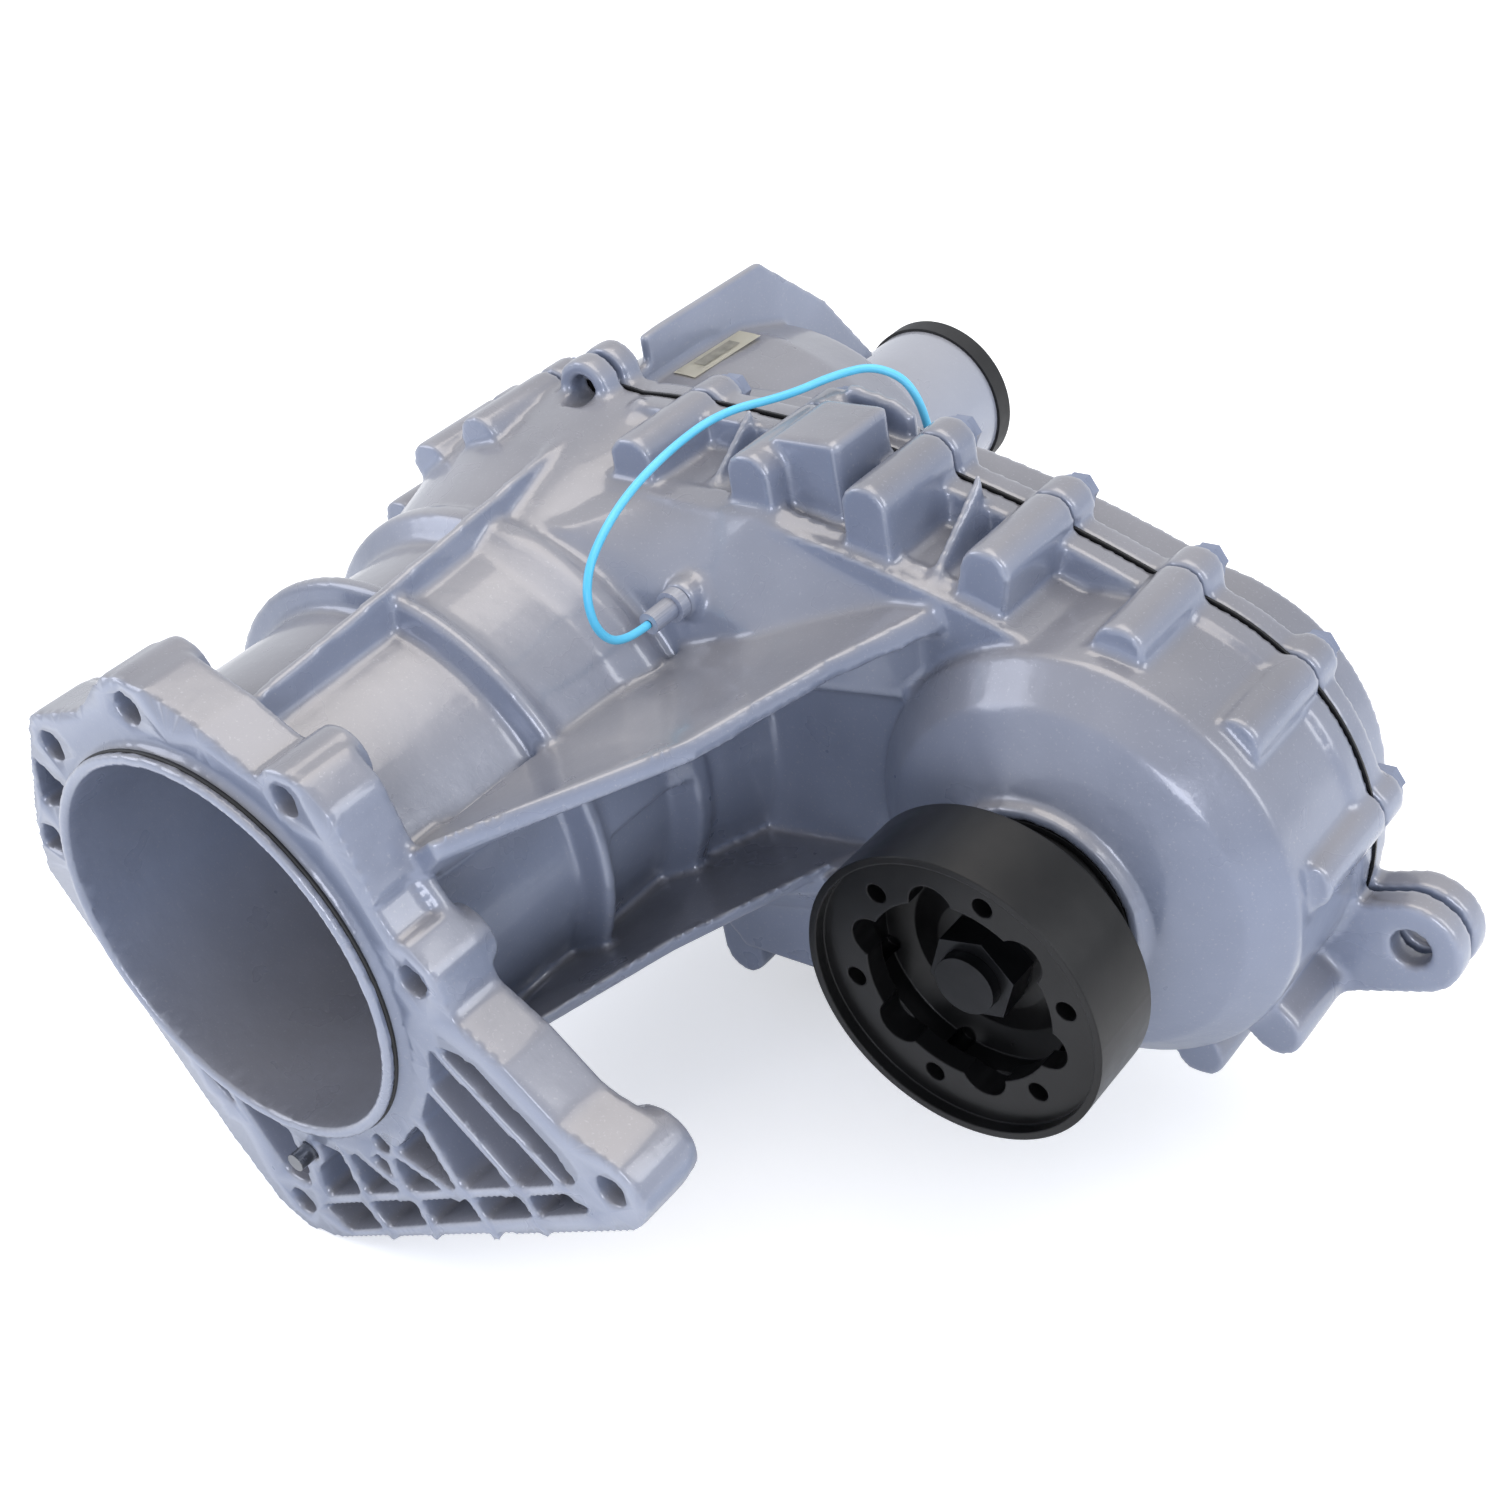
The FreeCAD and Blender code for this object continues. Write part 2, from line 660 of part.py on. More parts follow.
    pocket_y(body, "vent_hole", vent_seat - 1.0, vent_seat + 12.0,
             [("circle", vent_x, vent_z, size("vent_shank_radius") + fit)])
    fields = [closed(corners) for corners in LATTICE_FIELDS + ADAPTER_POCKETS]
    pocket_y(body, "lattice_fields", Size(-1, "-1"), size("lattice_depth"), fields)
    for number, row in enumerate(LATTICE_RIBS):
        ribs = [strip(start, end, size("lattice_web")) for start, end in row]
        pad_y(body, "lattice_ribs_%d" % number, Size(0, "0"), size("lattice_depth") + 2.0, ribs)
    dowel = size("dowel_radius")
    pad_y(body, "dowel_bosses", Size(0, "0"), size("lattice_depth") + 3.0,
          [("circle", 0.0, -107.0, dowel + 4.3), ("circle", 50.0, -82.0, dowel + 4.7)])
    pocket_y(body, "dowel_holes", Size(-1, "-1"), Size(14, "14"),
             [("circle", 0.0, -107.0, dowel + fit), ("circle", 50.0, -82.0, dowel + 0.5)])
    return body


# ---------------------------------------------------------------- rear casting
PLUG_PLACES = [(152.0, -38.0), (176.0, -84.0)]


def build_rear_case():
    body = new_body("rear_case")
    back_y = size("rear_back_y")
    knee_y = size("cone_knee_y")
    end_y = size("cone_end_y")
    hub_end = size("hub_end_y")
    bearing_bore = size("rear_bearing_radius") + fit
    bearing_back = size("hub_end_y") - 6.0
    bearing_front = bearing_back - size("rear_bearing_width")
    tube_bore = size("tube_radius") + fit
    cavity = size("cone_knee_radius") - wall
    revolve(body, "cone", [
        (size("cone_front_radius"), rear_seam_y),
        (size("cone_front_radius"), back_y + 16.0),
        (size("cone_knee_radius"), knee_y),
        (size("cone_end_radius"), end_y),
        (size("hub_radius") + 6.0, end_y + 5.0),
        (size("hub_radius"), end_y + 9.0),
        (size("hub_radius"), hub_end + 12.0),
        (tube_bore, hub_end + 12.0),
        (tube_bore, bearing_back),
        (bearing_bore, bearing_back),
        (bearing_bore, bearing_front),
        (size("hub_radius") + 22.0, bearing_front - 4.0),
        (cavity, knee_y - 2.0),
        (cavity, rear_seam_y),
    ])
    pad_y(body, "seam_flange", rear_seam_y, rear_seam_y + size("seam_lip"), [case_outline(0.0)])
    pad_y(body, "chain_housing", rear_seam_y, back_y, [case_outline(size("housing_inset"))])
    radius = float(size("seam_boss_radius"))
    shapes = [boss_shape(x, z, angle, radius, 16.0) for x, z, angle in SEAM_BOLTS]
    pad_y(body, "seam_bosses", rear_seam_y, rear_seam_y + size("rear_boss_length") - 1.0, shapes)
    lug_front = rear_seam_y + 2.0
    pad_y(body, "upper_lug", lug_front, lug_front + size("lug_thickness"),
          [boss_shape(-3.0, 115.0, 90, 13.0, 24.0)])
    pad_y(body, "right_lug", lug_front, lug_front + size("lug_thickness"),
          [boss_shape(357.0, -62.0, 18, 20.0, 52.0)])
    web = new_sketch(body, "tail_web_sketch", "YZ_Plane", Size(-6.5, "-6.5"), [[
        (float(rear_seam_y), 96.0), (float(rear_seam_y), 118.0), (300.0, 122.0),
        (372.0, 121.0), (415.0, 85.0), (444.0, 47.0), (444.0, 43.0), (392.0, 43.0),
        (384.0, 78.0), (350.0, 94.0),
    ]])
    pad(body, "tail_web", web, size("web_thickness"), False)
    pad_y(body, "hose_tab", rear_seam_y + 9.0, rear_seam_y + 14.0, [
        closed([(116, 88), (116, 119), (119, 123.5), (141, 119), (148, 114), (148, 88)]),
        ("circle", 124.0, 113.0, 2.5),
    ])
    tail_y = size("tail_bearing_y")
    pad_y(body, "tail_boss", back_y - 4.0, tail_y + size("tail_bearing_width") + 12.0,
          [("circle", front_x, front_z, size("tail_bearing_radius") + 9.0)])
    shift_x = size("shift_axis_x")
    shift_z = size("shift_axis_z")
    pad_y(body, "shift_boss", knee_y - 14.0, end_y + 9.0, [("circle", shift_x, shift_z, 15.0)])
    pocket_y(body, "chain_cavity", rear_seam_y - 1.0, back_y - wall,
             [case_outline(size("housing_inset") + wall)])
    pocket_y(body, "main_cavity", rear_seam_y - 1.0, knee_y - 20.0, [("circle", 0.0, 0.0, cavity)])
    pad_y(body, "tail_hub", tail_y, back_y - wall + 1.0,
          [("circle", front_x, front_z, size("tail_bearing_radius") + 7.0)])
    pocket_y(body, "tail_bearing_bore", tail_y - 1.0, tail_y + size("tail_bearing_width"),
             [("circle", front_x, front_z, size("tail_bearing_radius") + fit)])
    pocket_y(body, "shift_bore", knee_y - 20.0, end_y + 10.0,
             [("circle", shift_x, shift_z, size("shift_shaft_radius") + fit)])
    pocket_y(body, "shift_bay", rear_seam_y - 1.0, knee_y - 19.0,
             [("circle", shift_x, shift_z, size("shift_bay_radius"))])
    pocket_y(body, "plug_holes", back_y - wall - 1.0, back_y + 1.0,
             [("circle", x, z, size("plug_radius") + fit) for x, z in PLUG_PLACES])
    pocket_y(body, "bolt_holes", rear_seam_y - 1.0, rear_seam_y + size("rear_boss_length"),
             [("circle", x, z, bolt_hole) for x, z, angle in SEAM_BOLTS])
    nipple = new_sketch(body, "nipple_hole_sketch", "XY_Plane", size("nipple_top_z"), [
        ("circle", size("nipple_x"), size("nipple_y"), size("nipple_radius") + fit)])
    hole = body.newObject("PartDesign::Pocket", "nipple_hole")
    hole.Profile = nipple
    hole.Length = 20.0
    pocket_y(body, "upper_lug_hole", rear_seam_y - 1.0, rear_seam_y + 30.0,
             [("circle", -3.0, 115.0, size("lug_hole_radius"))])
    pocket_y(body, "right_lug_hole", rear_seam_y - 1.0, rear_seam_y + 30.0,
             [("circle", 357.0, -62.0, size("lug_hole_radius") + 1.5)])
    return body


# ---------------------------------------------------------------- gears
def involute(angle):
    return math.tan(angle) - angle


def gear_edges(teeth, addendum, dedendum, backlash, phase):
    """Outline of an involute gear of the sheet's module; phase is a tooth centre in degrees."""
    module = float(size("gear_module"))
    pitch_radius = teeth * module / 2
    base_radius = pitch_radius * math.cos(math.radians(20))
    tip = pitch_radius + addendum * module
    root = pitch_radius - dedendum * module
    half_tooth = math.pi / (2 * teeth) - backlash / (2 * pitch_radius)
    points = []
    for tooth in range(int(teeth)):
        middle = math.radians(phase) + 2 * math.pi * tooth / teeth
        flank = []
        for radius in (root, max(root, base_radius), pitch_radius, tip):
            working = math.acos(min(1.0, base_radius / radius))
            half = half_tooth + involute(math.radians(20)) - involute(working)
            flank.append((radius, half))
        if flank[0][0] == flank[1][0]:
            flank.pop(0)
        for radius, half in flank:
            points.append(Vector(*polar(radius, math.degrees(middle - half)), 0))
        for radius, half in reversed(flank):
            points.append(Vector(*polar(radius, math.degrees(middle + half)), 0))
    return [Part.LineSegment(points[i - 1], points[i]) for i in range(len(points))]


def shifted(edges, x, z):
    for edge in edges:
        edge.translate(Vector(float(x), float(z), 0))
    return edges


PLANETS = (0, 90, 180, 270)
ADDENDUM = 0.8
DEDENDUM = 1.2


def build_planetary():
    front = size("gear_front_y")
    back = front + size("gear_width")
    sun = float(size("sun_teeth"))
    planet = float(size("planet_teeth"))
    ring = sun + 2 * planet
    module = float(size("gear_module"))
    backlash = float(size("backlash"))
    orbit = (sun + planet) * module / 2
    sun_seat = size("input_seat_radius") + 3.0

    ring_gear = new_body("ring_gear")
    teeth = gear_edges(ring, DEDENDUM, ADDENDUM, -backlash, 180.0 / ring)
    pad_y(ring_gear, "ring_gear_pad", front, back,
          [("circle", 0.0, 0.0, size("ring_gear_radius")), teeth])
    ring_piece("ring_gear_snap_ring", size("ring_gear_radius") - 6.0, size("ring_gear_radius"),
               back + 0.1, back + 1.9)
    sun_gear = new_body("sun_gear")
    pad_y(sun_gear, "sun_gear_pad", front, back,
          [gear_edges(sun, ADDENDUM, DEDENDUM, backlash, 0.0),
           ("circle", 0.0, 0.0, sun_seat + fit)])
    pin = size("planet_pin_radius")
    for number, angle in enumerate(PLANETS, start=1):
        gear = new_body("planet_gear_%d" % number)
        x, z = polar(orbit, angle)
        phase = angle + 180.0 + 180.0 / planet
        edges = shifted(gear_edges(planet, ADDENDUM, DEDENDUM, backlash, phase), x, z)
        pad_y(gear, "planet_pad_%d" % number, front + 0.5, back - 0.5,
              [edges, ("circle", x, z, pin + 2 * fit)])
    plate = size("carrier_plate")
    carrier = new_body("planet_carrier")
    outer = size("carrier_radius")
    places = [polar(orbit, angle) for angle in PLANETS]
    posts = [polar(orbit, angle + 45.0) for angle in PLANETS]
    pin_holes = [("circle", x, z, pin + fit) for x, z in places]
    pad_y(carrier, "front_plate", front - 0.5 - plate, front - 0.5,
          [("circle", 0.0, 0.0, outer), ("circle", 0.0, 0.0, sun_seat + 0.3)] + pin_holes)
    pad_y(carrier, "posts", front - 1.0, back + 1.0, [("circle", x, z, 6.5) for x, z in posts])
    pad_y(carrier, "rear_plate", back + 0.5, back + 0.5 + plate,
          [("circle", 0.0, 0.0, outer), ("circle", 0.0, 0.0, size("sleeve_radius") + 0.5)]
          + pin_holes)
    pins = []
    for x, z in places:
        start = Vector(x, float(front - 0.5 - plate), z)
        length = float(size("gear_width")) + 1.0 + 2 * float(plate)
        pins.append(Part.makeCylinder(float(pin), length, start, Vector(0, 1, 0)))
    group("planet_pins", pins)


# ---------------------------------------------------------------- shafts and bearings
def sealed_bearing(name, bore, outer, front_y, width):
    """A sealed ball bearing: two rings and the shields between them, as bought."""
    back_y = front_y + width
    inner_land = bore + (outer - bore) * 0.3
    outer_land = bore + (outer - bore) * 0.7
    return turned(name, [
        (bore, front_y), (inner_land, front_y), (inner_land, front_y + 1.0),
        (outer_land, front_y + 1.0), (outer_land, front_y), (outer, front_y),
        (outer, back_y), (outer_land, back_y), (outer_land, back_y - 1.0),
        (inner_land, back_y - 1.0), (inner_land, back_y), (bore, back_y),
    ])


def build_input():
    bearing_y = size("input_bearing_front_y")
    bearing_back = bearing_y + size("input_bearing_width")
    seat = size("input_seat_radius")
    nose = size("input_nose_y")
    bore = size("input_bore_radius")
    gear_back = size("gear_front_y") + size("gear_width")
    journal = size("pilot_journal_radius")
    dog = size("sleeve_bore") - 0.1
    sealed_bearing("input_bearing", seat + fit, size("input_bearing_radius"), bearing_y,
                   size("input_bearing_width"))
    seal_radius = size("input_bearing_radius") - 4.0
    turned("input_seal", [
        (seat - 0.7, bearing_y - 3.8), (seal_radius, bearing_y - 3.8),
        (seal_radius, bearing_y - 0.1), (seat + 6.0, bearing_y - 0.1),
        (seat + 6.0, bearing_y - 2.0), (seat - 0.7, bearing_y - 2.0),
    ])
    turned("input_shaft", [
        (bore, nose), (seat - 1.0, nose), (seat - 1.0, bearing_y - 1.0),
        (seat, bearing_y - 1.0), (seat, bearing_back), (seat + 6.0, bearing_back),
        (seat + 6.0, bearing_back + 3.5), (seat + 3.0, bearing_back + 3.5),
        (seat + 3.0, gear_back), (dog, gear_back), (dog, gear_back + 8.0),
        (journal + fit, gear_back + 8.0), (journal + fit, gear_back - 14.0),
        (Size(0, "0"), gear_back - 14.0), (Size(0, "0"), bearing_y - 4.0),
        (bore, bearing_y - 4.0),
    ])


def build_main_shaft():
    gear_back = size("gear_front_y") + size("gear_width")
    journal = size("pilot_journal_radius")
    hub = size("sleeve_bore") - 0.1
    shaft = size("shaft_radius")
    seat = size("rear_seat_radius")
    output = size("output_radius")
    bearing_back = size("hub_end_y") - 6.0
    bearing_front = bearing_back - size("rear_bearing_width")
    end = size("tube_end_y") - 10.0
    hub_end = size("sprocket_front_y") - 6.0
    nil = Size(0, "0")
    turned("main_shaft", [
        (nil, gear_back - 12.0), (journal, gear_back - 12.0), (journal, gear_back + 9.0),
        (hub, gear_back + 9.0), (hub, hub_end), (shaft, hub_end), (shaft, bearing_front),
        (seat, bearing_front), (seat, bearing_back + 4.0), (output, bearing_back + 6.0),
        (output, end - 2.0), (output - 2.0, end), (nil, end),
    ])
    sealed_bearing("rear_bearing", seat + fit, size("rear_bearing_radius"), bearing_front,
                   size("rear_bearing_width"))
    tube = size("tube_radius")
    tube_bore = size("tube_bore")
    tube_end = size("tube_end_y")
    ring_piece("extension_tube", tube_bore, tube, bearing_back, tube_end)
    yoke = size("yoke_radius")
    ring_piece("tail_bushing", yoke + fit, tube_bore - fit, tube_end - 34.0, tube_end - 14.0)
    turned("output_seal", [
        (yoke + 0.4, tube_end - 8.0), (tube_bore - fit, tube_end - 8.0),
        (tube_bore - fit, tube_end), (tube + fit, tube_end), (tube + fit, tube_end - 8.0),
        (tube + 1.5, tube_end - 8.0), (tube + 1.5, tube_end + 2.0),
        (yoke + 0.4, tube_end + 2.0),
    ])


def build_range_change():
    front = size("sleeve_front_y")
    back = front + size("sleeve_length")
    bore = size("sleeve_bore")
    outer = size("sleeve_radius")
    turned("range_sleeve", [
        (bore, front), (outer, front), (outer, front + 8.0), (outer - 4.0, front + 8.0),
        (outer - 4.0, front + 14.0), (outer, front + 14.0), (outer, back), (bore, back),
    ])
    shift_x = size("shift_axis_x")
    shift_z = size("shift_axis_z")
    shift_radius = size("shift_shaft_radius")
    fork = new_body("range_fork")
    pad_y(fork, "fork_hub", front + 3.0, back - 1.0, [("circle", shift_x, shift_z, 12.5)])
    heading = math.degrees(math.atan2(float(shift_z), float(shift_x)))
    inner = float(outer) - 3.6
    reach = float(outer) + 9.0
    span = 78.0
    arc = [
        Part.Arc(Vector(*polar(inner, heading - span), 0), Vector(*polar(inner, heading), 0),
                 Vector(*polar(inner, heading + span), 0)),
        Part.LineSegment(Vector(*polar(inner, heading + span), 0),
                         Vector(*polar(reach, heading + span), 0)),
        Part.Arc(Vector(*polar(reach, heading + span), 0), Vector(*polar(reach, heading), 0),
                 Vector(*polar(reach, heading - span), 0)),
        Part.LineSegment(Vector(*polar(reach, heading - span), 0),
                         Vector(*polar(inner, heading - span), 0)),
    ]
    pad_y(fork, "fork_arms", front + 8.3, front + 13.7, [arc])
    arm = strip(polar(float(outer) + 4.0, heading), (float(shift_x), float(shift_z)), 16.0)
    pad_y(fork, "fork_arm", front + 8.3, front + 13.7, [arm])
    pocket_y(fork, "fork_bore", front, back + 1.0,
             [("circle", shift_x, shift_z, shift_radius + 2 * fit)])
    shaft = new_body("shift_shaft")
    gear_back = size("gear_front_y") + size("gear_width")
    shaft_end = size("cone_end_y") + 29.0
    pad_y(shaft, "shift_rod", gear_back - 12.0, shaft_end - size("shift_end_length"),
          [("circle", shift_x, shift_z, shift_radius)])
    pad_y(shaft, "shift_end", shaft_end - size("shift_end_length") - 1.0, shaft_end,
          [("circle", shift_x, shift_z, shift_radius - 1.0)])
    cam_front = back + size("sleeve_travel") + 1.0
    pad_y(shaft, "shift_cam", cam_front, cam_front + 20.0, [("circle", shift_x, shift_z, 12.0)])
    flat = float(shift_radius) * 0.55
    x0, z0 = float(shift_x), float(shift_z)
    pocket_y(shaft, "shift_flats", shaft_end - 10.0, shaft_end + 1.0, [
        closed([(x0 - 9, z0 + flat), (x0 + 9, z0 + flat), (x0 + 9, z0 + 9), (x0 - 9, z0 + 9)]),
        closed([(x0 - 9, z0 - 9), (x0 + 9, z0 - 9), (x0 + 9, z0 - flat), (x0 - 9, z0 - flat)]),
    ])


# ---------------------------------------------------------------- chain drive and clutch
def sprocket_edges():
    teeth = int(size("sprocket_teeth"))
    tip = float(size("sprocket_tip_radius"))
    root = tip - 4.5
    pitch = 360.0 / teeth
    points = []
    for tooth in range(teeth):
        middle = tooth * pitch
        for radius, offset in ((root, -0.34), (tip, -0.16), (tip, 0.16), (root, 0.34)):
            points.append(Vector(*polar(radius, middle + offset * pitch), 0))
    return [Part.LineSegment(points[i - 1], points[i]) for i in range(len(points))]


def chain_edges(offset, notch):
    """A link-by-link outline round both sprockets; every other point is drawn in by notch."""
    radius = float(size("sprocket_tip_radius")) + float(size("chain_clearance")) + offset
    distance = math.hypot(*front_centre)
    heading = math.atan2(front_centre[1], front_centre[0])
    links = int(round((2 * distance + 2 * math.pi * radius) / float(size("chain_pitch"))))
    length = 2 * distance + 2 * math.pi * radius
    points = []
    for link in range(links):
        for part, depth in ((0.0, 0.0), (0.7, 0.0), (0.78, notch), (0.92, notch)):
            travel = (link + part) * length / links
            points.append(chain_point(travel, radius - depth, radius, distance, heading))
    return [Part.LineSegment(points[i - 1], points[i]) for i in range(len(points))]


def chain_point(travel, radius, path_radius, distance, heading):
    half = math.pi * path_radius
    if travel < distance:
        along, across = travel, radius
    elif travel < distance + half:
        turn = (travel - distance) / path_radius
        along = distance + radius * math.sin(turn)
        across = radius * math.cos(turn)
    elif travel < 2 * distance + half:
        along, across = 2 * distance + half - travel, -radius
    else:
        turn = (travel - 2 * distance - half) / path_radius
        along = -radius * math.sin(turn)
        across = -radius * math.cos(turn)
    return Vector(along * math.cos(heading) - across * math.sin(heading),
                  along * math.sin(heading) + across * math.cos(heading), 0)


def build_chain_drive():
    front = size("sprocket_front_y")
    back = front + size("sprocket_width")
    drive = new_body("drive_sprocket")
    pad_y(drive, "drive_sprocket_pad", front, back,
          [sprocket_edges(), ("circle", 0.0, 0.0, size("shaft_radius") + fit)])
    driven = new_body("driven_sprocket")
    pad_y(driven, "driven_sprocket_pad", front, back,
          [sprocket_edges(), ("circle", 0.0, 0.0, size("front_seat_radius") + 4.0 + fit)])
    to_front_axis(driven)
    chain = new_body("drive_chain")
    slack = (size("sprocket_width") - size("chain_width")) / 2
    pad_y(chain, "chain_pad", front + slack, back - slack,
          [chain_edges(float(size("chain_height")), 1.2), chain_edges(0.0, -1.2)])


def build_clutch():
    shaft = size("shaft_radius")
    sprocket_back = size("sprocket_front_y") + size("sprocket_width")
    front = size("clutch_front_y")
    drum = size("clutch_drum_radius")
    drum_back = front + 52.0
    hub = Size(50.0, "50")
    turned("clutch_hub", [
        (shaft + fit, sprocket_back), (hub, sprocket_back), (hub, drum_back - 8.0),
        (hub - 4.0, drum_back - 8.0), (hub - 4.0, sprocket_back + 4.0),
        (shaft + fit, sprocket_back + 4.0),
    ])
    turned("clutch_drum", [
        (shaft + fit, drum_back - 8.0), (shaft + 7.0, drum_back - 8.0),
        (shaft + 7.0, drum_back - 4.0), (drum - 4.0, drum_back - 4.0), (drum - 4.0, front),
        (drum, front), (drum, drum_back), (shaft + 7.0, drum_back),
        (shaft + 7.0, drum_back + 10.0), (shaft + fit, drum_back + 10.0),
    ])
    ring_piece("pressure_plate", hub + 0.5, drum - 4.5, front + 2.0, front + 6.0)
    thickness = size("plate_thickness")
    first = front + 6.0 + size("pressure_travel") + 0.1
    steels = []
    frictions = []
    for number in range(16):
        y = float(first) + number * (float(thickness) + 0.1)
        if number % 2 == 0:
            radii = (float(hub) + 1.5, float(drum) - 4.0 - float(fit))
        else:
            radii = (float(hub) + float(fit), float(drum) - 5.5)
        disc = Part.makeCylinder(radii[1], float(thickness), Vector(0, y, 0), Vector(0, 1, 0))
        hole = Part.makeCylinder(radii[0], float(thickness), Vector(0, y, 0), Vector(0, 1, 0))
        (steels if number % 2 == 0 else frictions).append(disc.cut(hole))
    group("clutch_steel_plates", steels)
    group("clutch_friction_plates", frictions)
    ring_piece("ball_ramp_ring", shaft + 0.3, drum - 10.0, drum_back + 10.5, drum_back + 17.0)
    bearing_front = size("hub_end_y") - 6.0 - size("rear_bearing_width")
    ring_piece("clutch_coil", size("rear_bearing_radius") + 2.0, drum - 5.0,
               bearing_front - 24.0, bearing_front - 4.2)
    ring_piece("oil_pump", shaft + 0.3, size("rear_bearing_radius") - 1.0,
               bearing_front - 16.0, bearing_front - 0.1)


# ---------------------------------------------------------------- front output
def build_front_output():
    nil = Size(0, "0")
    front = size("flange_front_y")
    skirt_back = front + size("flange_skirt")
    face = front + size("flange_face_recess")
    outer = size("flange_radius")
    spline = size("front_spline_radius")
    hub = size("flange_hub_radius")
    hub_y = size("front_hub_y")
    seat = size("front_seat_radius")
    bearing_y = size("front_bearing_y")
    bearing_back = bearing_y + size("front_bearing_width")
    floor = front + 28.0
    hub_back = bearing_y - 6.0
    sprocket_front = size("sprocket_front_y")
    sprocket_back = sprocket_front + size("sprocket_width")
    tail_y = size("tail_bearing_y")
    tail_seat = size("tail_seat_radius")
    thread = spline - 4.0
    flange = turned("front_flange", [
        (spline + fit, hub_back), (spline + fit, floor), (spline + 7.0, floor),
        (hub + 4.0, floor + 2.0), (outer - 16.0, floor - 2.0), (outer - 16.0, face + 12.0),
        (outer - 22.0, face + 9.0), (outer - 22.0, face), (outer - 3.0, face),
        (outer - 3.0, front), (outer, front), (outer, skirt_back), (outer - 8.0, skirt_back + 4.0),
        (hub + 6.0, skirt_back + 5.0), (hub, skirt_back + 10.0), (hub, hub_back),
    ])
    count = int(size("flange_hole_count"))
    circle = float(size("flange_bolt_circle"))
    turn = 360.0 / count
    holes = [("circle", *polar(circle, turn * i + 10.0), size("flange_hole_radius"))
             for i in range(count)]
    lobes = [("circle", *polar(circle - 9.0, turn * (i + 0.5) + 10.0), 9.0)
             for i in range(count)]
    pocket_y(flange, "flange_holes", front - 1.0, skirt_back - 4.0, holes)
    pocket_y(flange, "flange_lobes", front - 1.0, face + 12.0, lobes)
    to_front_axis(flange)
    to_front_axis(turned("front_output_shaft", [
        (nil, front + 9.0), (thread, front + 9.0), (thread, floor), (spline, floor),
        (spline, hub_back), (seat, hub_back), (seat, bearing_back), (seat + 6.0, bearing_back),
        (seat + 6.0, sprocket_front), (seat + 4.0, sprocket_front), (seat + 4.0, sprocket_back),
        (seat, sprocket_back), (seat, tail_y), (tail_seat, tail_y),
        (tail_seat, tail_y + size("tail_bearing_width")),
        (nil, tail_y + size("tail_bearing_width")),
    ]))
    nut = new_body("flange_nut")
    corners = [polar(float(size("nut_radius")), 60.0 * i + 10.0) for i in range(6)]
    nut_front = floor - size("nut_height")
    pad_y(nut, "nut_pad", nut_front, floor,
          [closed(corners), ("circle", 0.0, 0.0, thread + fit)])
    to_front_axis(nut)
    to_front_axis(turned("dust_collar", [
        (hub + fit, skirt_back + 11.0), (hub + 5.0, skirt_back + 11.0), (hub + 7.0, hub_y - 9.0),
        (hub + 7.0, hub_y - 1.0), (hub + fit, hub_y - 1.0),
    ]))
    seal_radius = size("front_bearing_radius") - 2.0
    to_front_axis(turned("front_output_seal", [
        (hub + 0.3, hub_y + 0.5), (seal_radius, hub_y + 0.5), (seal_radius, hub_y + 10.0),
        (hub + 5.0, hub_y + 10.0), (hub + 5.0, hub_y + 3.0), (hub + 0.3, hub_y + 3.0),
    ]))
    to_front_axis(sealed_bearing("front_bearing", seat + fit, size("front_bearing_radius"),
                                 bearing_y, size("front_bearing_width")))
    to_front_axis(sealed_bearing("tail_bearing", tail_seat + fit, size("tail_bearing_radius"),
                                 tail_y, size("tail_bearing_width") - 0.5))


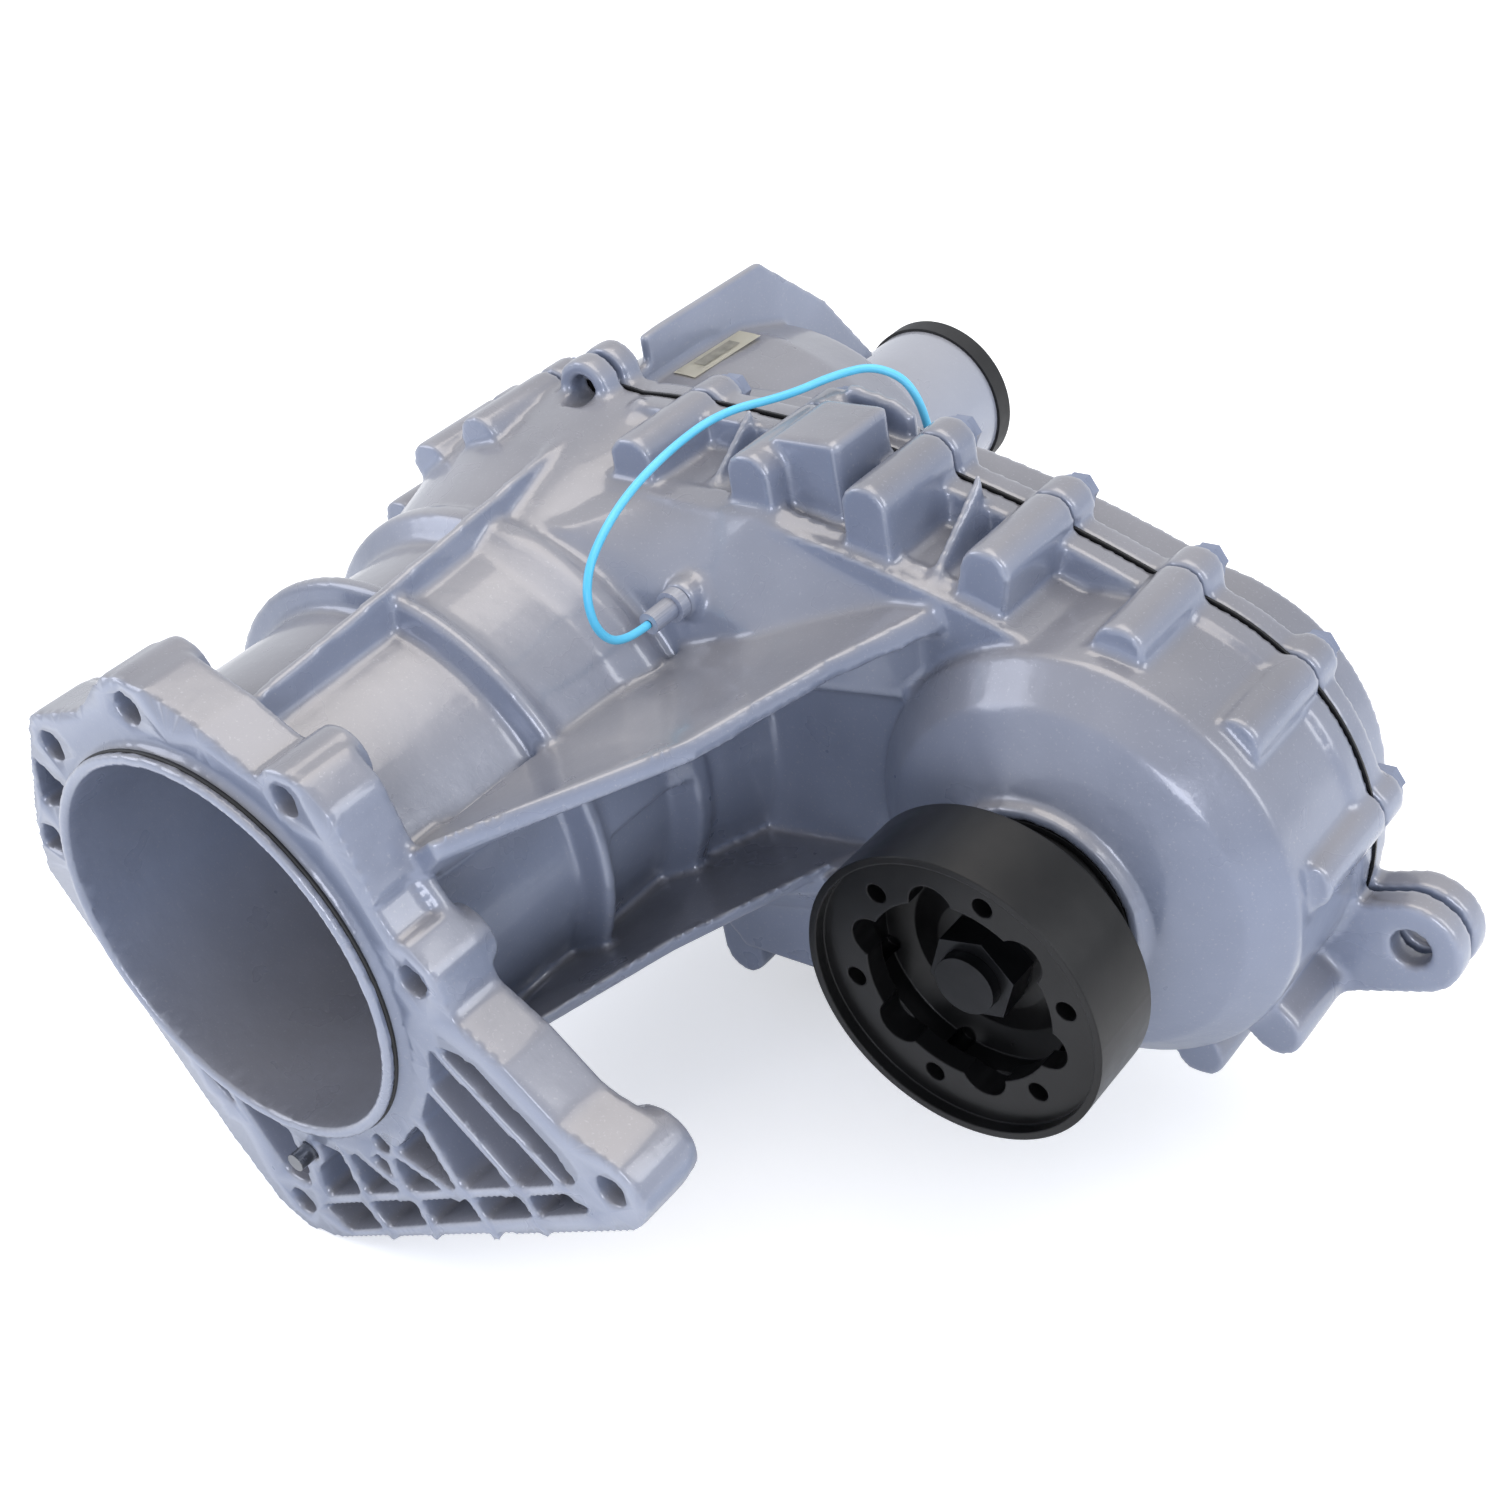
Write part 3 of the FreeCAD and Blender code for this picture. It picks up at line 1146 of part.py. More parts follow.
# ---------------------------------------------------------------- fasteners and sealing
def build_fasteners():
    seat_y = float(rear_seam_y) + float(size("rear_boss_length")) - 1.0
    length = float(size("bolt_length"))
    head_radius = float(size("bolt_head_radius"))
    head_height = float(size("bolt_head_height"))
    bolts = []
    for x, z, angle in SEAM_BOLTS:
        start = Vector(x, seat_y - length, z)
        shank = Part.makeCylinder(float(size("bolt_radius")), length, start, Vector(0, 1, 0))
        washer = Part.makeCylinder(head_radius, 2.0, Vector(x, seat_y, z), Vector(0, 1, 0))
        corners = [Vector(*polar(head_radius * 0.82, 60.0 * i, (x, z))) for i in range(6)]
        points = [Vector(c.x, seat_y + 2.0, c.y) for c in corners]
        face = Part.Face(Part.makePolygon(points + points[:1]))
        head = face.extrude(Vector(0, head_height - 2.0, 0))
        bolts.append(shank.fuse([washer, head]).removeSplitter())
    group("case_bolts", bolts)
    sealant = new_body("case_sealant")
    pad_y(sealant, "sealant_bead", seam_y, rear_seam_y, [case_outline(-0.6), case_outline(19.0)])
    pocket_y(sealant, "sealant_bay", seam_y - 1.0, rear_seam_y + 1.0,
             [("circle", size("shift_axis_x"), size("shift_axis_z"), size("shift_bay_radius"))])
    pocket_y(sealant, "sealant_holes", seam_y - 1.0, rear_seam_y + 1.0,
             [("circle", x, z, bolt_hole) for x, z, angle in SEAM_BOLTS])
    pilot = float(size("pilot_outer_radius"))
    middle = -float(size("pilot_length")) / 2
    cord = float(size("pilot_groove")) * 0.5
    seat = pilot + float(size("ring_stand")) - 2 * cord
    ring = Part.makeTorus(seat + cord, cord, Vector(0, middle, 0), Vector(0, 1, 0))
    group("pilot_o_ring", [ring])
    dowel = Part.makeCylinder(float(size("dowel_radius")), 20.0, Vector(0, -8, -107),
                              Vector(0, 1, 0))
    group("adapter_dowel", [dowel])
    plugs = []
    back_y = float(size("rear_back_y"))
    radius = float(size("plug_radius"))
    for x, z in PLUG_PLACES:
        thread = Part.makeCylinder(radius, float(wall), Vector(x, back_y - float(wall), z),
                                   Vector(0, 1, 0))
        corners = [Vector(*polar(radius + 4.0, 60.0 * i, (x, z))) for i in range(6)]
        points = [Vector(c.x, back_y, c.y) for c in corners]
        face = Part.Face(Part.makePolygon(points + points[:1]))
        head = face.extrude(Vector(0, 7, 0))
        plugs.append(thread.fuse(head).removeSplitter())
    group("fill_plug", plugs[:1])
    group("drain_plug", plugs[1:])


# ---------------------------------------------------------------- breather
HOSE_CORNERS = [
    (94, 142, 71), (93.5, 131, 82), (92, 131, 98), (89, 142, 109), (83, 170, 117),
    (80, 204, 121), (84, 232, 124), (103, 250, 125), (110, 274, 124.5), (121, 287, 124),
    (135, 292, 114),
]


def cord_path(corners):
    """Straight runs joined by tangent arcs, each as wide as its shorter run allows."""
    edges = []
    radii = []
    start = corners[0]
    for i in range(1, len(corners) - 1):
        before = corners[i - 1] - corners[i]
        after = corners[i + 1] - corners[i]
        turn = math.pi - before.getAngle(after)
        reach = 0.45 * min(before.Length, after.Length)
        radius = reach / math.tan(turn / 2)
        before.normalize()
        after.normalize()
        entry = corners[i] + before * reach
        leave = corners[i] + after * reach
        inward = (before + after).normalize()
        top = corners[i] + inward * (radius / math.cos(turn / 2) - radius)
        edges.append(Part.makeLine(start, entry))
        edges.append(Part.Arc(entry, top, leave).toShape())
        radii.append(round(radius, 1))
        start = leave
    edges.append(Part.makeLine(start, corners[-1]))
    return Part.Wire(edges), radii


def build_breather():
    seat_y = size("vent_seat_y")
    mouth_y = size("vent_mouth_y")
    radius = size("vent_radius")
    fitting = turned("vent_fitting", [
        (size("hose_radius"), mouth_y), (radius, mouth_y), (radius, seat_y - 5.0),
        (radius + 2.0, seat_y - 5.0), (radius + 2.0, seat_y),
        (size("vent_shank_radius"), seat_y), (size("vent_shank_radius"), seat_y + 11.0),
        (size("hose_radius"), seat_y + 11.0),
    ])
    fitting.Placement = Placement(Vector(float(size("vent_x")), 0, float(size("vent_z"))),
                                  Rotation())
    bind(fitting, "Placement.Base.x", size("vent_x"))
    bind(fitting, "Placement.Base.z", size("vent_z"))
    top = size("nipple_top_z")
    nipple = new_body("vent_nipple")
    ring = new_sketch(nipple, "nipple_sketch", "XY_Plane", top - 14.0, [
        ("circle", size("nipple_x"), size("nipple_y"), size("nipple_radius")),
        ("circle", size("nipple_x"), size("nipple_y"), size("hose_radius") - 0.4)])
    pad(nipple, "nipple_pad", ring, Size(14, "14"), False)
    gap = float(size("soft_gap"))
    first = Vector(float(size("vent_x")), float(mouth_y) - gap, float(size("vent_z")))
    last = Vector(float(size("nipple_x")), float(size("nipple_y")), float(top) + gap)
    path, radii = cord_path([first] + [Vector(*corner) for corner in HOSE_CORNERS] + [last])
    hose_radius = float(size("hose_radius"))
    circle = Part.Wire(Part.makeCircle(hose_radius, first, Vector(0, -1, 0)))
    hose = path.makePipeShell([circle], True, True)
    group("vent_hose", [hose])
    print("vent_hose length %.1f radii %s" % (path.Length, radii))
    print("vent_hose volume over section times length %.4f"
          % (hose.Volume / (math.pi * hose_radius ** 2 * path.Length)))


build_front_case()
build_rear_case()
build_planetary()
build_input()
build_main_shaft()
build_range_change()
build_chain_drive()
build_clutch()
build_front_output()
build_fasteners()
build_breather()

doc.recompute()
for item in doc.Objects:
    if "Invalid" in item.State or "Error" in item.State:
        raise RuntimeError("%s: %s" % (item.Name, item.getStatusString()))

pieces = [item for item in doc.Objects if item.TypeId in ("PartDesign::Body", "Part::Feature")]
for item in pieces:
    if item.Shape.isNull() or not item.Shape.isValid():
        raise RuntimeError("%s has no valid shape" % item.Label)
os.makedirs("parts", exist_ok=True)
for item in pieces:
    item.Shape.exportStep("parts/%s.step" % item.Label)
    box = item.Shape.BoundBox
    print("%-24s %d solids %9.1f cm3  y %.1f to %.1f" % (
        item.Label, len(item.Shape.Solids), item.Shape.Volume / 1000, box.YMin, box.YMax))
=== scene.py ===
# %% [markdown]
# # A cast transfer case, dressed for a studio picture
#
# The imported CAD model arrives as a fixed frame: every piece already has its place, in
# metres, with +Y running rearward along the main shaft, +X towards the front output and
# +Z up. This notebook gives that frame its looks. It rounds the two castings as a foundry
# would, paints them, dresses the steel, rubber and bronze, lays the breather hose, sticks
# on a blank label, and sets up the studio.

# %% Load the frame
import json
import math

import bmesh
import bpy
from mathutils import Matrix, Vector


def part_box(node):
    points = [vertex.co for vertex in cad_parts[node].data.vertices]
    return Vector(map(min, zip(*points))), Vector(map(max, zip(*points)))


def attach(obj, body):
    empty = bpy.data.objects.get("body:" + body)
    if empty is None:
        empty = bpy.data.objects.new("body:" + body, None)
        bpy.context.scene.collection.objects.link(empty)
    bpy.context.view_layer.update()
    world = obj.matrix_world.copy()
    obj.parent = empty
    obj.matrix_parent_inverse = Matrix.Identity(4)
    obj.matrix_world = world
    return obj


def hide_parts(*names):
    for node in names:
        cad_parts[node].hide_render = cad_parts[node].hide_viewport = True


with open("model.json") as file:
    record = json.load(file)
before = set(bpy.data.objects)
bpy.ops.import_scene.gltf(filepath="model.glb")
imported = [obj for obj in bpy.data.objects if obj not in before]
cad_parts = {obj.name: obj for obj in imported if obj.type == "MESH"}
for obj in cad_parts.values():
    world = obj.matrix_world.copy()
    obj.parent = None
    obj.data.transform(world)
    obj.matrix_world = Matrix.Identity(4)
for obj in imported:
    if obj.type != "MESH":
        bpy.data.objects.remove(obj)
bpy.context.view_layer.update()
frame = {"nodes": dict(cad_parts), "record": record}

nodes = frame["nodes"]

# %% [markdown]
# ## Places the picture needs
#
# Positions are read from the frame, so they follow the CAD when it changes.

# %% Named places
MM = 0.001
adapter_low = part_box("front_case")[0]
rear_low, rear_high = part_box("rear_case")
floor_z = min(adapter_low.z, rear_low.z)
print("rear face at", round(rear_high.y, 4), "floor at", round(floor_z, 4))

# %% [markdown]
# ## Colour and node helpers
#
# Colours are written the way a paint chart gives them, as sRGB hex, and turned into the
# linear values that the shader wants. `add` makes one shader node and fills its sockets,
# so each material below reads as a short list of what it is made of.


# %% Helpers
def linear(hex_colour):
    values = [int(hex_colour[i:i + 2], 16) / 255 for i in (1, 3, 5)]
    return tuple(v / 12.92 if v <= 0.04045 else ((v + 0.055) / 1.055) ** 2.4
                 for v in values) + (1.0,)


def add(tree, kind, links=None, **sockets):
    """Adds a node; sockets are input values, links are outputs of other nodes."""
    made = tree.nodes.new(kind)
    for name, value in sockets.items():
        made.inputs[name.replace("_", " ")].default_value = value
    for name, output in (links or {}).items():
        key = name if isinstance(name, int) else name.replace("_", " ")
        tree.links.new(output, made.inputs[key])
    return made


def new_material(name):
    material = bpy.data.materials.new(name)
    material.use_nodes = True
    tree = material.node_tree
    tree.nodes.clear()
    output = tree.nodes.new("ShaderNodeOutputMaterial")
    shader = tree.nodes.new("ShaderNodeBsdfPrincipled")
    tree.links.new(shader.outputs["BSDF"], output.inputs["Surface"])
    where = tree.nodes.new("ShaderNodeTexCoord").outputs["Object"]
    return material, tree, shader, where


def noise_at(tree, where, scale, detail=3.0, rough=0.5):
    return add(tree, "ShaderNodeTexNoise", {"Vector": where}, Scale=scale, Detail=detail,
               Roughness=rough).outputs["Fac"]


def ramp(tree, value, low, high, start=0.35, end=0.65):
    """Blends two colours as value goes from start to end."""
    made = add(tree, "ShaderNodeValToRGB", {"Fac": value})
    made.color_ramp.elements[0].position = start
    made.color_ramp.elements[0].color = low
    made.color_ramp.elements[1].position = end
    made.color_ramp.elements[1].color = high
    return made.outputs["Color"]


def mix(tree, factor, first, second):
    made = tree.nodes.new("ShaderNodeMix")
    made.data_type = "RGBA"
    for index, value in ((0, factor), (6, first), (7, second)):
        socket = made.inputs[index]
        if hasattr(value, "links"):
            tree.links.new(value, socket)
        else:
            socket.default_value = value
    return made.outputs[2]


def span(tree, value, low, high, start=0.0, end=1.0):
    made = add(tree, "ShaderNodeMapRange", {"Value": value})
    made.inputs["From Min"].default_value = start
    made.inputs["From Max"].default_value = end
    made.inputs["To Min"].default_value = low
    made.inputs["To Max"].default_value = high
    return made.outputs["Result"]


def bump(tree, height, distance, strength, under=None):
    made = add(tree, "ShaderNodeBump", {"Height": height}, Strength=strength, Distance=distance)
    if under is not None:
        tree.links.new(under, made.inputs["Normal"])
    return made.outputs["Normal"]


def grey(value):
    return (value, value, value, 1.0)


print("helpers ready")

# %% [markdown]
# ## Paint on cast aluminium
#
# The castings carry one coat of blue-grey paint. Its colour carries painted light: faces that
# look up are painted warmer and a little browner and walls bluer, as studio light and
# reflections fall on them, and convex edges are painted lighter as a painted highlight. The
# surface has the slow ripple of sprayed paint over the fine tooth of a sand casting.


# %% Cast paint
def cast_paint():
    material, tree, shader, where = new_material("cast_paint")
    geometry = tree.nodes.new("ShaderNodeNewGeometry")
    facing = add(tree, "ShaderNodeSeparateXYZ", {"Vector": geometry.outputs["Normal"]})
    # Painted light: up-facing faces get a warmer, browner tone and walls a bluer one, for how
    # studio light and reflections fall; the noise patches are random tone.
    up_facing_painted_light = span(tree, facing.outputs["Z"], 0.0, 1.0, 0.15, 0.95)
    patches = noise_at(tree, where, 9.0, 4.0)
    wall_painted_light_tone = ramp(tree, patches, linear("#747c90"), linear("#858da1"))
    top = ramp(tree, patches, linear("#75757b"), linear("#88878c"))
    colour = mix(tree, up_facing_painted_light, wall_painted_light_tone, top)
    specks = noise_at(tree, where, 900.0, 2.0)
    colour = mix(tree, span(tree, specks, 0.0, 0.35, 0.62, 0.75), colour, linear("#a3a5ac"))
    # Painted highlight: convex edges, found by pointiness, are mixed towards a pale grey.
    edges = span(tree, geometry.outputs["Pointiness"], 0.0, 0.45, 0.515, 0.60)
    colour = mix(tree, edges, colour, linear("#b9bcc6"))
    tree.links.new(colour, shader.inputs["Base Color"])
    shader.inputs["Metallic"].default_value = 0.15
    roughness = span(tree, noise_at(tree, where, 35.0), 0.22, 0.36)
    tree.links.new(roughness, shader.inputs["Roughness"])
    shader.inputs["Coat Weight"].default_value = 0.6
    shader.inputs["Coat Roughness"].default_value = 0.09
    tooth = bump(tree, noise_at(tree, where, 700.0, 2.0), 0.00012, 0.35)
    ripple = bump(tree, noise_at(tree, where, 60.0, 2.0), 0.0012, 0.35, tooth)
    tree.links.new(ripple, shader.inputs["Normal"])
    return material


paint = cast_paint()
print("made", paint.name)

# %% [markdown]
# ## Machined, blackened and moulded surfaces
#
# One recipe serves every metal: a base colour with slow stains, a roughness that varies,
# and a fine bump. Turned pieces get their bump from rings around the Y axis, which is how
# a lathe leaves them. A bevel node softens edges that the CAD keeps sharp.


# %% Metal, rubber and bronze
def metal(name, dark, light, metallic, rough_low, rough_high, turned=0.0, edge=0.0004):
    material, tree, shader, where = new_material(name)
    stains = noise_at(tree, where, 24.0, 5.0)
    tree.links.new(ramp(tree, stains, linear(dark), linear(light)), shader.inputs["Base Color"])
    shader.inputs["Metallic"].default_value = metallic
    roughness = span(tree, noise_at(tree, where, 160.0), rough_low, rough_high)
    tree.links.new(roughness, shader.inputs["Roughness"])
    round_edges = add(tree, "ShaderNodeBevel", Radius=edge).outputs["Normal"]
    normal = bump(tree, noise_at(tree, where, 1200.0, 2.0), 0.00006, 0.25, round_edges)
    if turned:
        rings = add(tree, "ShaderNodeTexWave", {"Vector": where}, Scale=turned, Distortion=0.4)
        rings.bands_direction = "Y"
        normal = bump(tree, rings.outputs["Fac"], 0.00004, 0.25, normal)
    tree.links.new(normal, shader.inputs["Normal"])
    return material


LOOKS = {
    "black_flange": metal("black_flange", "#0a0a0b", "#161617", 0.4, 0.24, 0.38, edge=0.001),
    "steel": metal("steel", "#8d8e90", "#a9a9aa", 1.0, 0.22, 0.36, turned=320.0),
    "dark_steel": metal("dark_steel", "#3b3c3f", "#55565a", 0.9, 0.34, 0.5),
    "gear_steel": metal("gear_steel", "#77777a", "#98989a", 1.0, 0.2, 0.34),
    "bearing_steel": metal("bearing_steel", "#a5a6a9", "#bdbec1", 1.0, 0.12, 0.22, turned=420.0),
    "zinc_bolt": metal("zinc_bolt", "#717a90", "#8990a3", 0.3, 0.26, 0.38),
    "seal_rubber": metal("seal_rubber", "#0b0b0c", "#171718", 0.0, 0.45, 0.62),
    "sealant": metal("sealant", "#060607", "#101011", 0.0, 0.18, 0.34),
    "bronze": metal("bronze", "#7c5f36", "#9a7b4a", 1.0, 0.26, 0.4),
    "friction": metal("friction", "#2a211b", "#3d3128", 0.0, 0.7, 0.85),
    "copper_coil": metal("copper_coil", "#5d3420", "#7a4a2e", 0.6, 0.35, 0.5),
    "hose_blue": metal("hose_blue", "#4fb4dc", "#68c6e9", 0.0, 0.3, 0.42),
}
# Painted shade: the flange nut and front output shaft sit deep in the flange's dark bore, so
# they get this near-black steel instead of their slot's look.
PAINTED_SHADE_STEEL = metal("steel_painted_shade", "#1b1c1e", "#303134", 0.8, 0.24, 0.4, turned=320.0)
slot_of = {part["node"]: part["material_slot"] for part in frame["record"]["subparts"]}
for name, piece in nodes.items():
    look = LOOKS.get(slot_of[name], paint)
    # Painted shade: the deep nut and shaft are drawn near-black.
    if name in ("flange_nut", "front_output_shaft"):
        look = PAINTED_SHADE_STEEL
    for slot in piece.material_slots:
        slot.material = look
print("dressed", len(nodes), "nodes with", 2 + len(LOOKS), "materials")

# %% [markdown]
# ## Rounding the castings
#
# Sand castings have no sharp corners. Each casting's CAD mesh is copied and rebuilt from
# small voxels, which fuses its ribs, bosses and walls into one skin, and then relaxed, so
# that inner corners fill and outer ones round off. Machined faces are left out of the
# relaxing through a vertex group, because the cutter makes those crisp again after
# casting. The skin is thinned to a sensible number of triangles at the end.

# %% Castings
VOXEL = 1.7 * MM
RELAX_STEPS = 7
CASTING_TRIANGLES = 190000
MERGE_DISTANCE = 1e-5
MACHINED_DEPTH = 0.8 * MM
GUSSET_HALF_WIDTH = 1.7
# Each gusset is x, its front and back in y, and the z of its foot and top, in mm.
GUSSETS = {
    "front_case": [(190, 205, 249, 78, 106), (84, 207, 249, 92, 118), (26, 207, 249, 92, 116)],
}
# Each section of the lower web's root is its y and the (x, z) corners there, in mm.
WEB_ROOT = {
    "front_case": [
        (24, [(52, -71), (64, -60), (100, -33), (98, -38)]),
        (109, [(52, -72), (66, -57), (116, -38), (116, -43)]),
        (204, [(52, -74), (66, -58), (142, -49), (140, -55)]),
    ],
}


def baked(piece):
    """The piece's mesh with its modifiers applied."""
    graph = bpy.context.evaluated_depsgraph_get()
    mesh = bpy.data.meshes.new_from_object(piece.evaluated_get(graph))
    piece.modifiers.clear()
    piece.data = mesh
    return piece


def add_piece(name, mesh, material):
    piece = bpy.data.objects.new(name, mesh)
    bpy.context.scene.collection.objects.link(piece)
    piece.data.materials.clear()
    piece.data.materials.append(material)
    return piece


def gusset(skin, x, front_y, back_y, foot_z, top_z):
    """Joins a thin triangular rib, standing along Y, to a casting's mesh."""
    corners = [(x + side, y, z) for side in (-GUSSET_HALF_WIDTH, GUSSET_HALF_WIDTH)
               for y, z in ((front_y, foot_z), (back_y, foot_z), (back_y, top_z))]
    made = [skin.verts.new(Vector(corner) * MM) for corner in corners]
    bmesh.ops.convex_hull(skin, input=made)


def web_root(skin, sections):
    """Thickens the lower web where it grows out of the drum, section by section."""
    for front, back in zip(sections, sections[1:]):
        made = [skin.verts.new(Vector((x, y, z)) * MM) for y, section in (front, back)
                for x, z in section]
        bmesh.ops.convex_hull(skin, input=made)


def cast_skin(node, machined):
    """A rounded copy of a casting; machined(point) is true where it stays crisp."""
    piece = add_piece(node + "_skin", nodes[node].data.copy(), paint)
    skin = bmesh.new()
    skin.from_mesh(piece.data)
    bmesh.ops.remove_doubles(skin, verts=skin.verts, dist=MERGE_DISTANCE)
    for measures in GUSSETS.get(node, []):
        gusset(skin, *measures)
    web_root(skin, WEB_ROOT.get(node, []))
    skin.to_mesh(piece.data)
    skin.free()
    voxels = piece.modifiers.new("voxels", "REMESH")
    voxels.mode = "VOXEL"
    voxels.voxel_size = VOXEL
    baked(piece)
    loose = piece.vertex_groups.new(name="cast")
    loose.add([v.index for v in piece.data.vertices if not machined(v.co)], 1.0, "REPLACE")
    relax = piece.modifiers.new("relax", "SMOOTH")
    relax.factor = 0.5
    relax.iterations = RELAX_STEPS
    relax.vertex_group = "cast"
    baked(piece)
    triangles = 2 * len(piece.data.polygons)
    thin = piece.modifiers.new("thin", "DECIMATE")
    thin.ratio = min(1.0, CASTING_TRIANGLES / triangles)
    baked(piece)
    piece.vertex_groups.clear()
    piece.data.materials.clear()
    piece.data.materials.append(paint)
    piece.data.shade_smooth()
    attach(piece, "case")
    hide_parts(node)
    print(piece.name, "from", triangles, "to", len(piece.data.polygons), "triangles")
    return piece


front_skin = cast_skin("front_case", lambda p: p.y < MACHINED_DEPTH)
rear_skin = cast_skin("rear_case", lambda p: p.y > rear_high.y - MACHINED_DEPTH)

# %% [markdown]
# ## Breather hose
#
# The hose is one smooth NURBS curve through the same corners as its CAD solid,
# from the fitting's mouth, over the bosses and down behind the tab to its nipple.

# %% Hose
HOSE_RADIUS = 1.7 * MM
HOSE_POINTS = [
    (94, 157.7, 71), (94, 142, 71), (93.5, 131, 82), (92, 131, 98), (89, 142, 109),
    (83, 170, 117), (80, 204, 121), (84, 232, 124), (103, 250, 125), (110, 274, 124.5),
    (121, 287, 124), (135, 292, 114), (137.5, 292, 97.3),
]


def hose_curve():
    curve = bpy.data.curves.new("breather_hose", "CURVE")
    curve.dimensions = "3D"
    curve.resolution_u = 12
    curve.bevel_depth = HOSE_RADIUS
    curve.bevel_resolution = 6
    curve.use_fill_caps = True
    line = curve.splines.new("NURBS")
    line.points.add(len(HOSE_POINTS) - 1)
    for point, (x, y, z) in zip(line.points, HOSE_POINTS):
        point.co = (x * MM, y * MM, z * MM, 1.0)
    line.order_u = 3
    line.use_endpoint_u = True
    piece = bpy.data.objects.new("breather_hose", curve)
    bpy.context.scene.collection.objects.link(piece)
    curve.materials.append(LOOKS["hose_blue"])
    return piece


hose = hose_curve()
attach(hose, "case")
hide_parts("vent_hose")
print("hose points:", len(HOSE_POINTS))

# %% [markdown]
# ## Blank label
#
# A pale paper label with an empty grey field lies on the cone of the rear casting, close
# beside the tail web. Both are thin patches that follow the cone.

# %% Label
CONE_FRONT = (258.0, 100.0)
CONE_KNEE = (350.0, 98.0)
PATCH_STEPS = 12
PAPER = 0.25 * MM
LABEL_LIFT = 1.5
FIELD_LIFT = 1.8


def cone_radius(y):
    share = (y - CONE_FRONT[0]) / (CONE_KNEE[0] - CONE_FRONT[0])
    return CONE_FRONT[1] + share * (CONE_KNEE[1] - CONE_FRONT[1])


def cone_patch(name, low, high, lift, material):
    """A thin patch on top of the cone between the (x, y) corners low and high, in mm."""
    patch = bmesh.new()
    rows = []
    for i in range(PATCH_STEPS + 1):
        x = low[0] + (high[0] - low[0]) * i / PATCH_STEPS
        row = []
        for y in (low[1], high[1]):
            radius = cone_radius(y) + lift
            row.append(patch.verts.new(Vector((x, y, math.sqrt(radius ** 2 - x ** 2))) * MM))
        rows.append(row)
    for before, after in zip(rows, rows[1:]):
        patch.faces.new((before[0], after[0], after[1], before[1]))
    bmesh.ops.solidify(patch, geom=patch.faces[:], thickness=PAPER)
    bmesh.ops.recalc_face_normals(patch, faces=patch.faces)
    mesh = bpy.data.meshes.new(name)
    patch.to_mesh(mesh)
    patch.free()
    piece = add_piece(name, mesh, material)
    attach(piece, "case")
    return piece


def plain_paper(name, colour):
    material, tree, shader, where = new_material(name)
    tint = ramp(tree, noise_at(tree, where, 120.0), linear(colour), linear("#d9d7cb"), 0.3, 1.0)
    tree.links.new(tint, shader.inputs["Base Color"])
    shader.inputs["Roughness"].default_value = 0.5
    return material


cone_patch("blank_label", (1.5, 298.0), (13.5, 346.0), LABEL_LIFT,
           plain_paper("label_paper", "#d0cdbf"))
cone_patch("blank_label_field", (4.3, 309.0), (10.4, 335.0), FIELD_LIFT,
           plain_paper("label_field", "#8d8b84"))
print("label laid at radius", round(cone_radius(324.0), 1), "mm")

# %% [markdown]
# ## Studio
#
# A pale floor, a large soft light overhead, a cooler one from the left and a low fill give
# the long soft highlights that painted castings show. The world is pale to the camera and
# dimmer as a light, so that shading keeps its depth.

# %% Camera
CAMERA_PLACE = Vector((0.6253, -0.3726, 0.4794))
CAMERA_TARGET = Vector((0.1087, 0.1869, 0.0))
CAMERA_ROLL = math.radians(-11.05)
camera_data = bpy.data.cameras.new("camera")
camera_data.lens = 53.9
camera_data.sensor_width = 36.0
camera_data.shift_x = -0.0031
camera_data.shift_y = -0.0009
camera_data.clip_start = 0.01
camera = bpy.data.objects.new("camera", camera_data)
bpy.context.scene.collection.objects.link(camera)
aim = (CAMERA_TARGET - CAMERA_PLACE).to_track_quat("-Z", "Y").to_matrix().to_4x4()
roll = Matrix.Rotation(CAMERA_ROLL, 4, "Z")
camera.matrix_world = Matrix.Translation(CAMERA_PLACE) @ aim @ roll
bpy.context.scene.camera = camera
print("camera", round((CAMERA_TARGET - CAMERA_PLACE).length, 3), "m from its target")


# %% Lights and floor
def area_light(name, place, target, size, power, colour):
    data = bpy.data.lights.new(name, "AREA")
    data.shape = "RECTANGLE"
    data.size = size[0]
    data.size_y = size[1]
    data.energy = power
    data.color = linear(colour)[:3]
    lamp = bpy.data.objects.new(name, data)
    bpy.context.scene.collection.objects.link(lamp)
    aim = (Vector(target) - Vector(place)).to_track_quat("-Z", "Y")
    lamp.matrix_world = Matrix.Translation(Vector(place)) @ aim.to_matrix().to_4x4()
    return lamp


CENTRE = (0.12, 0.2, 0.0)
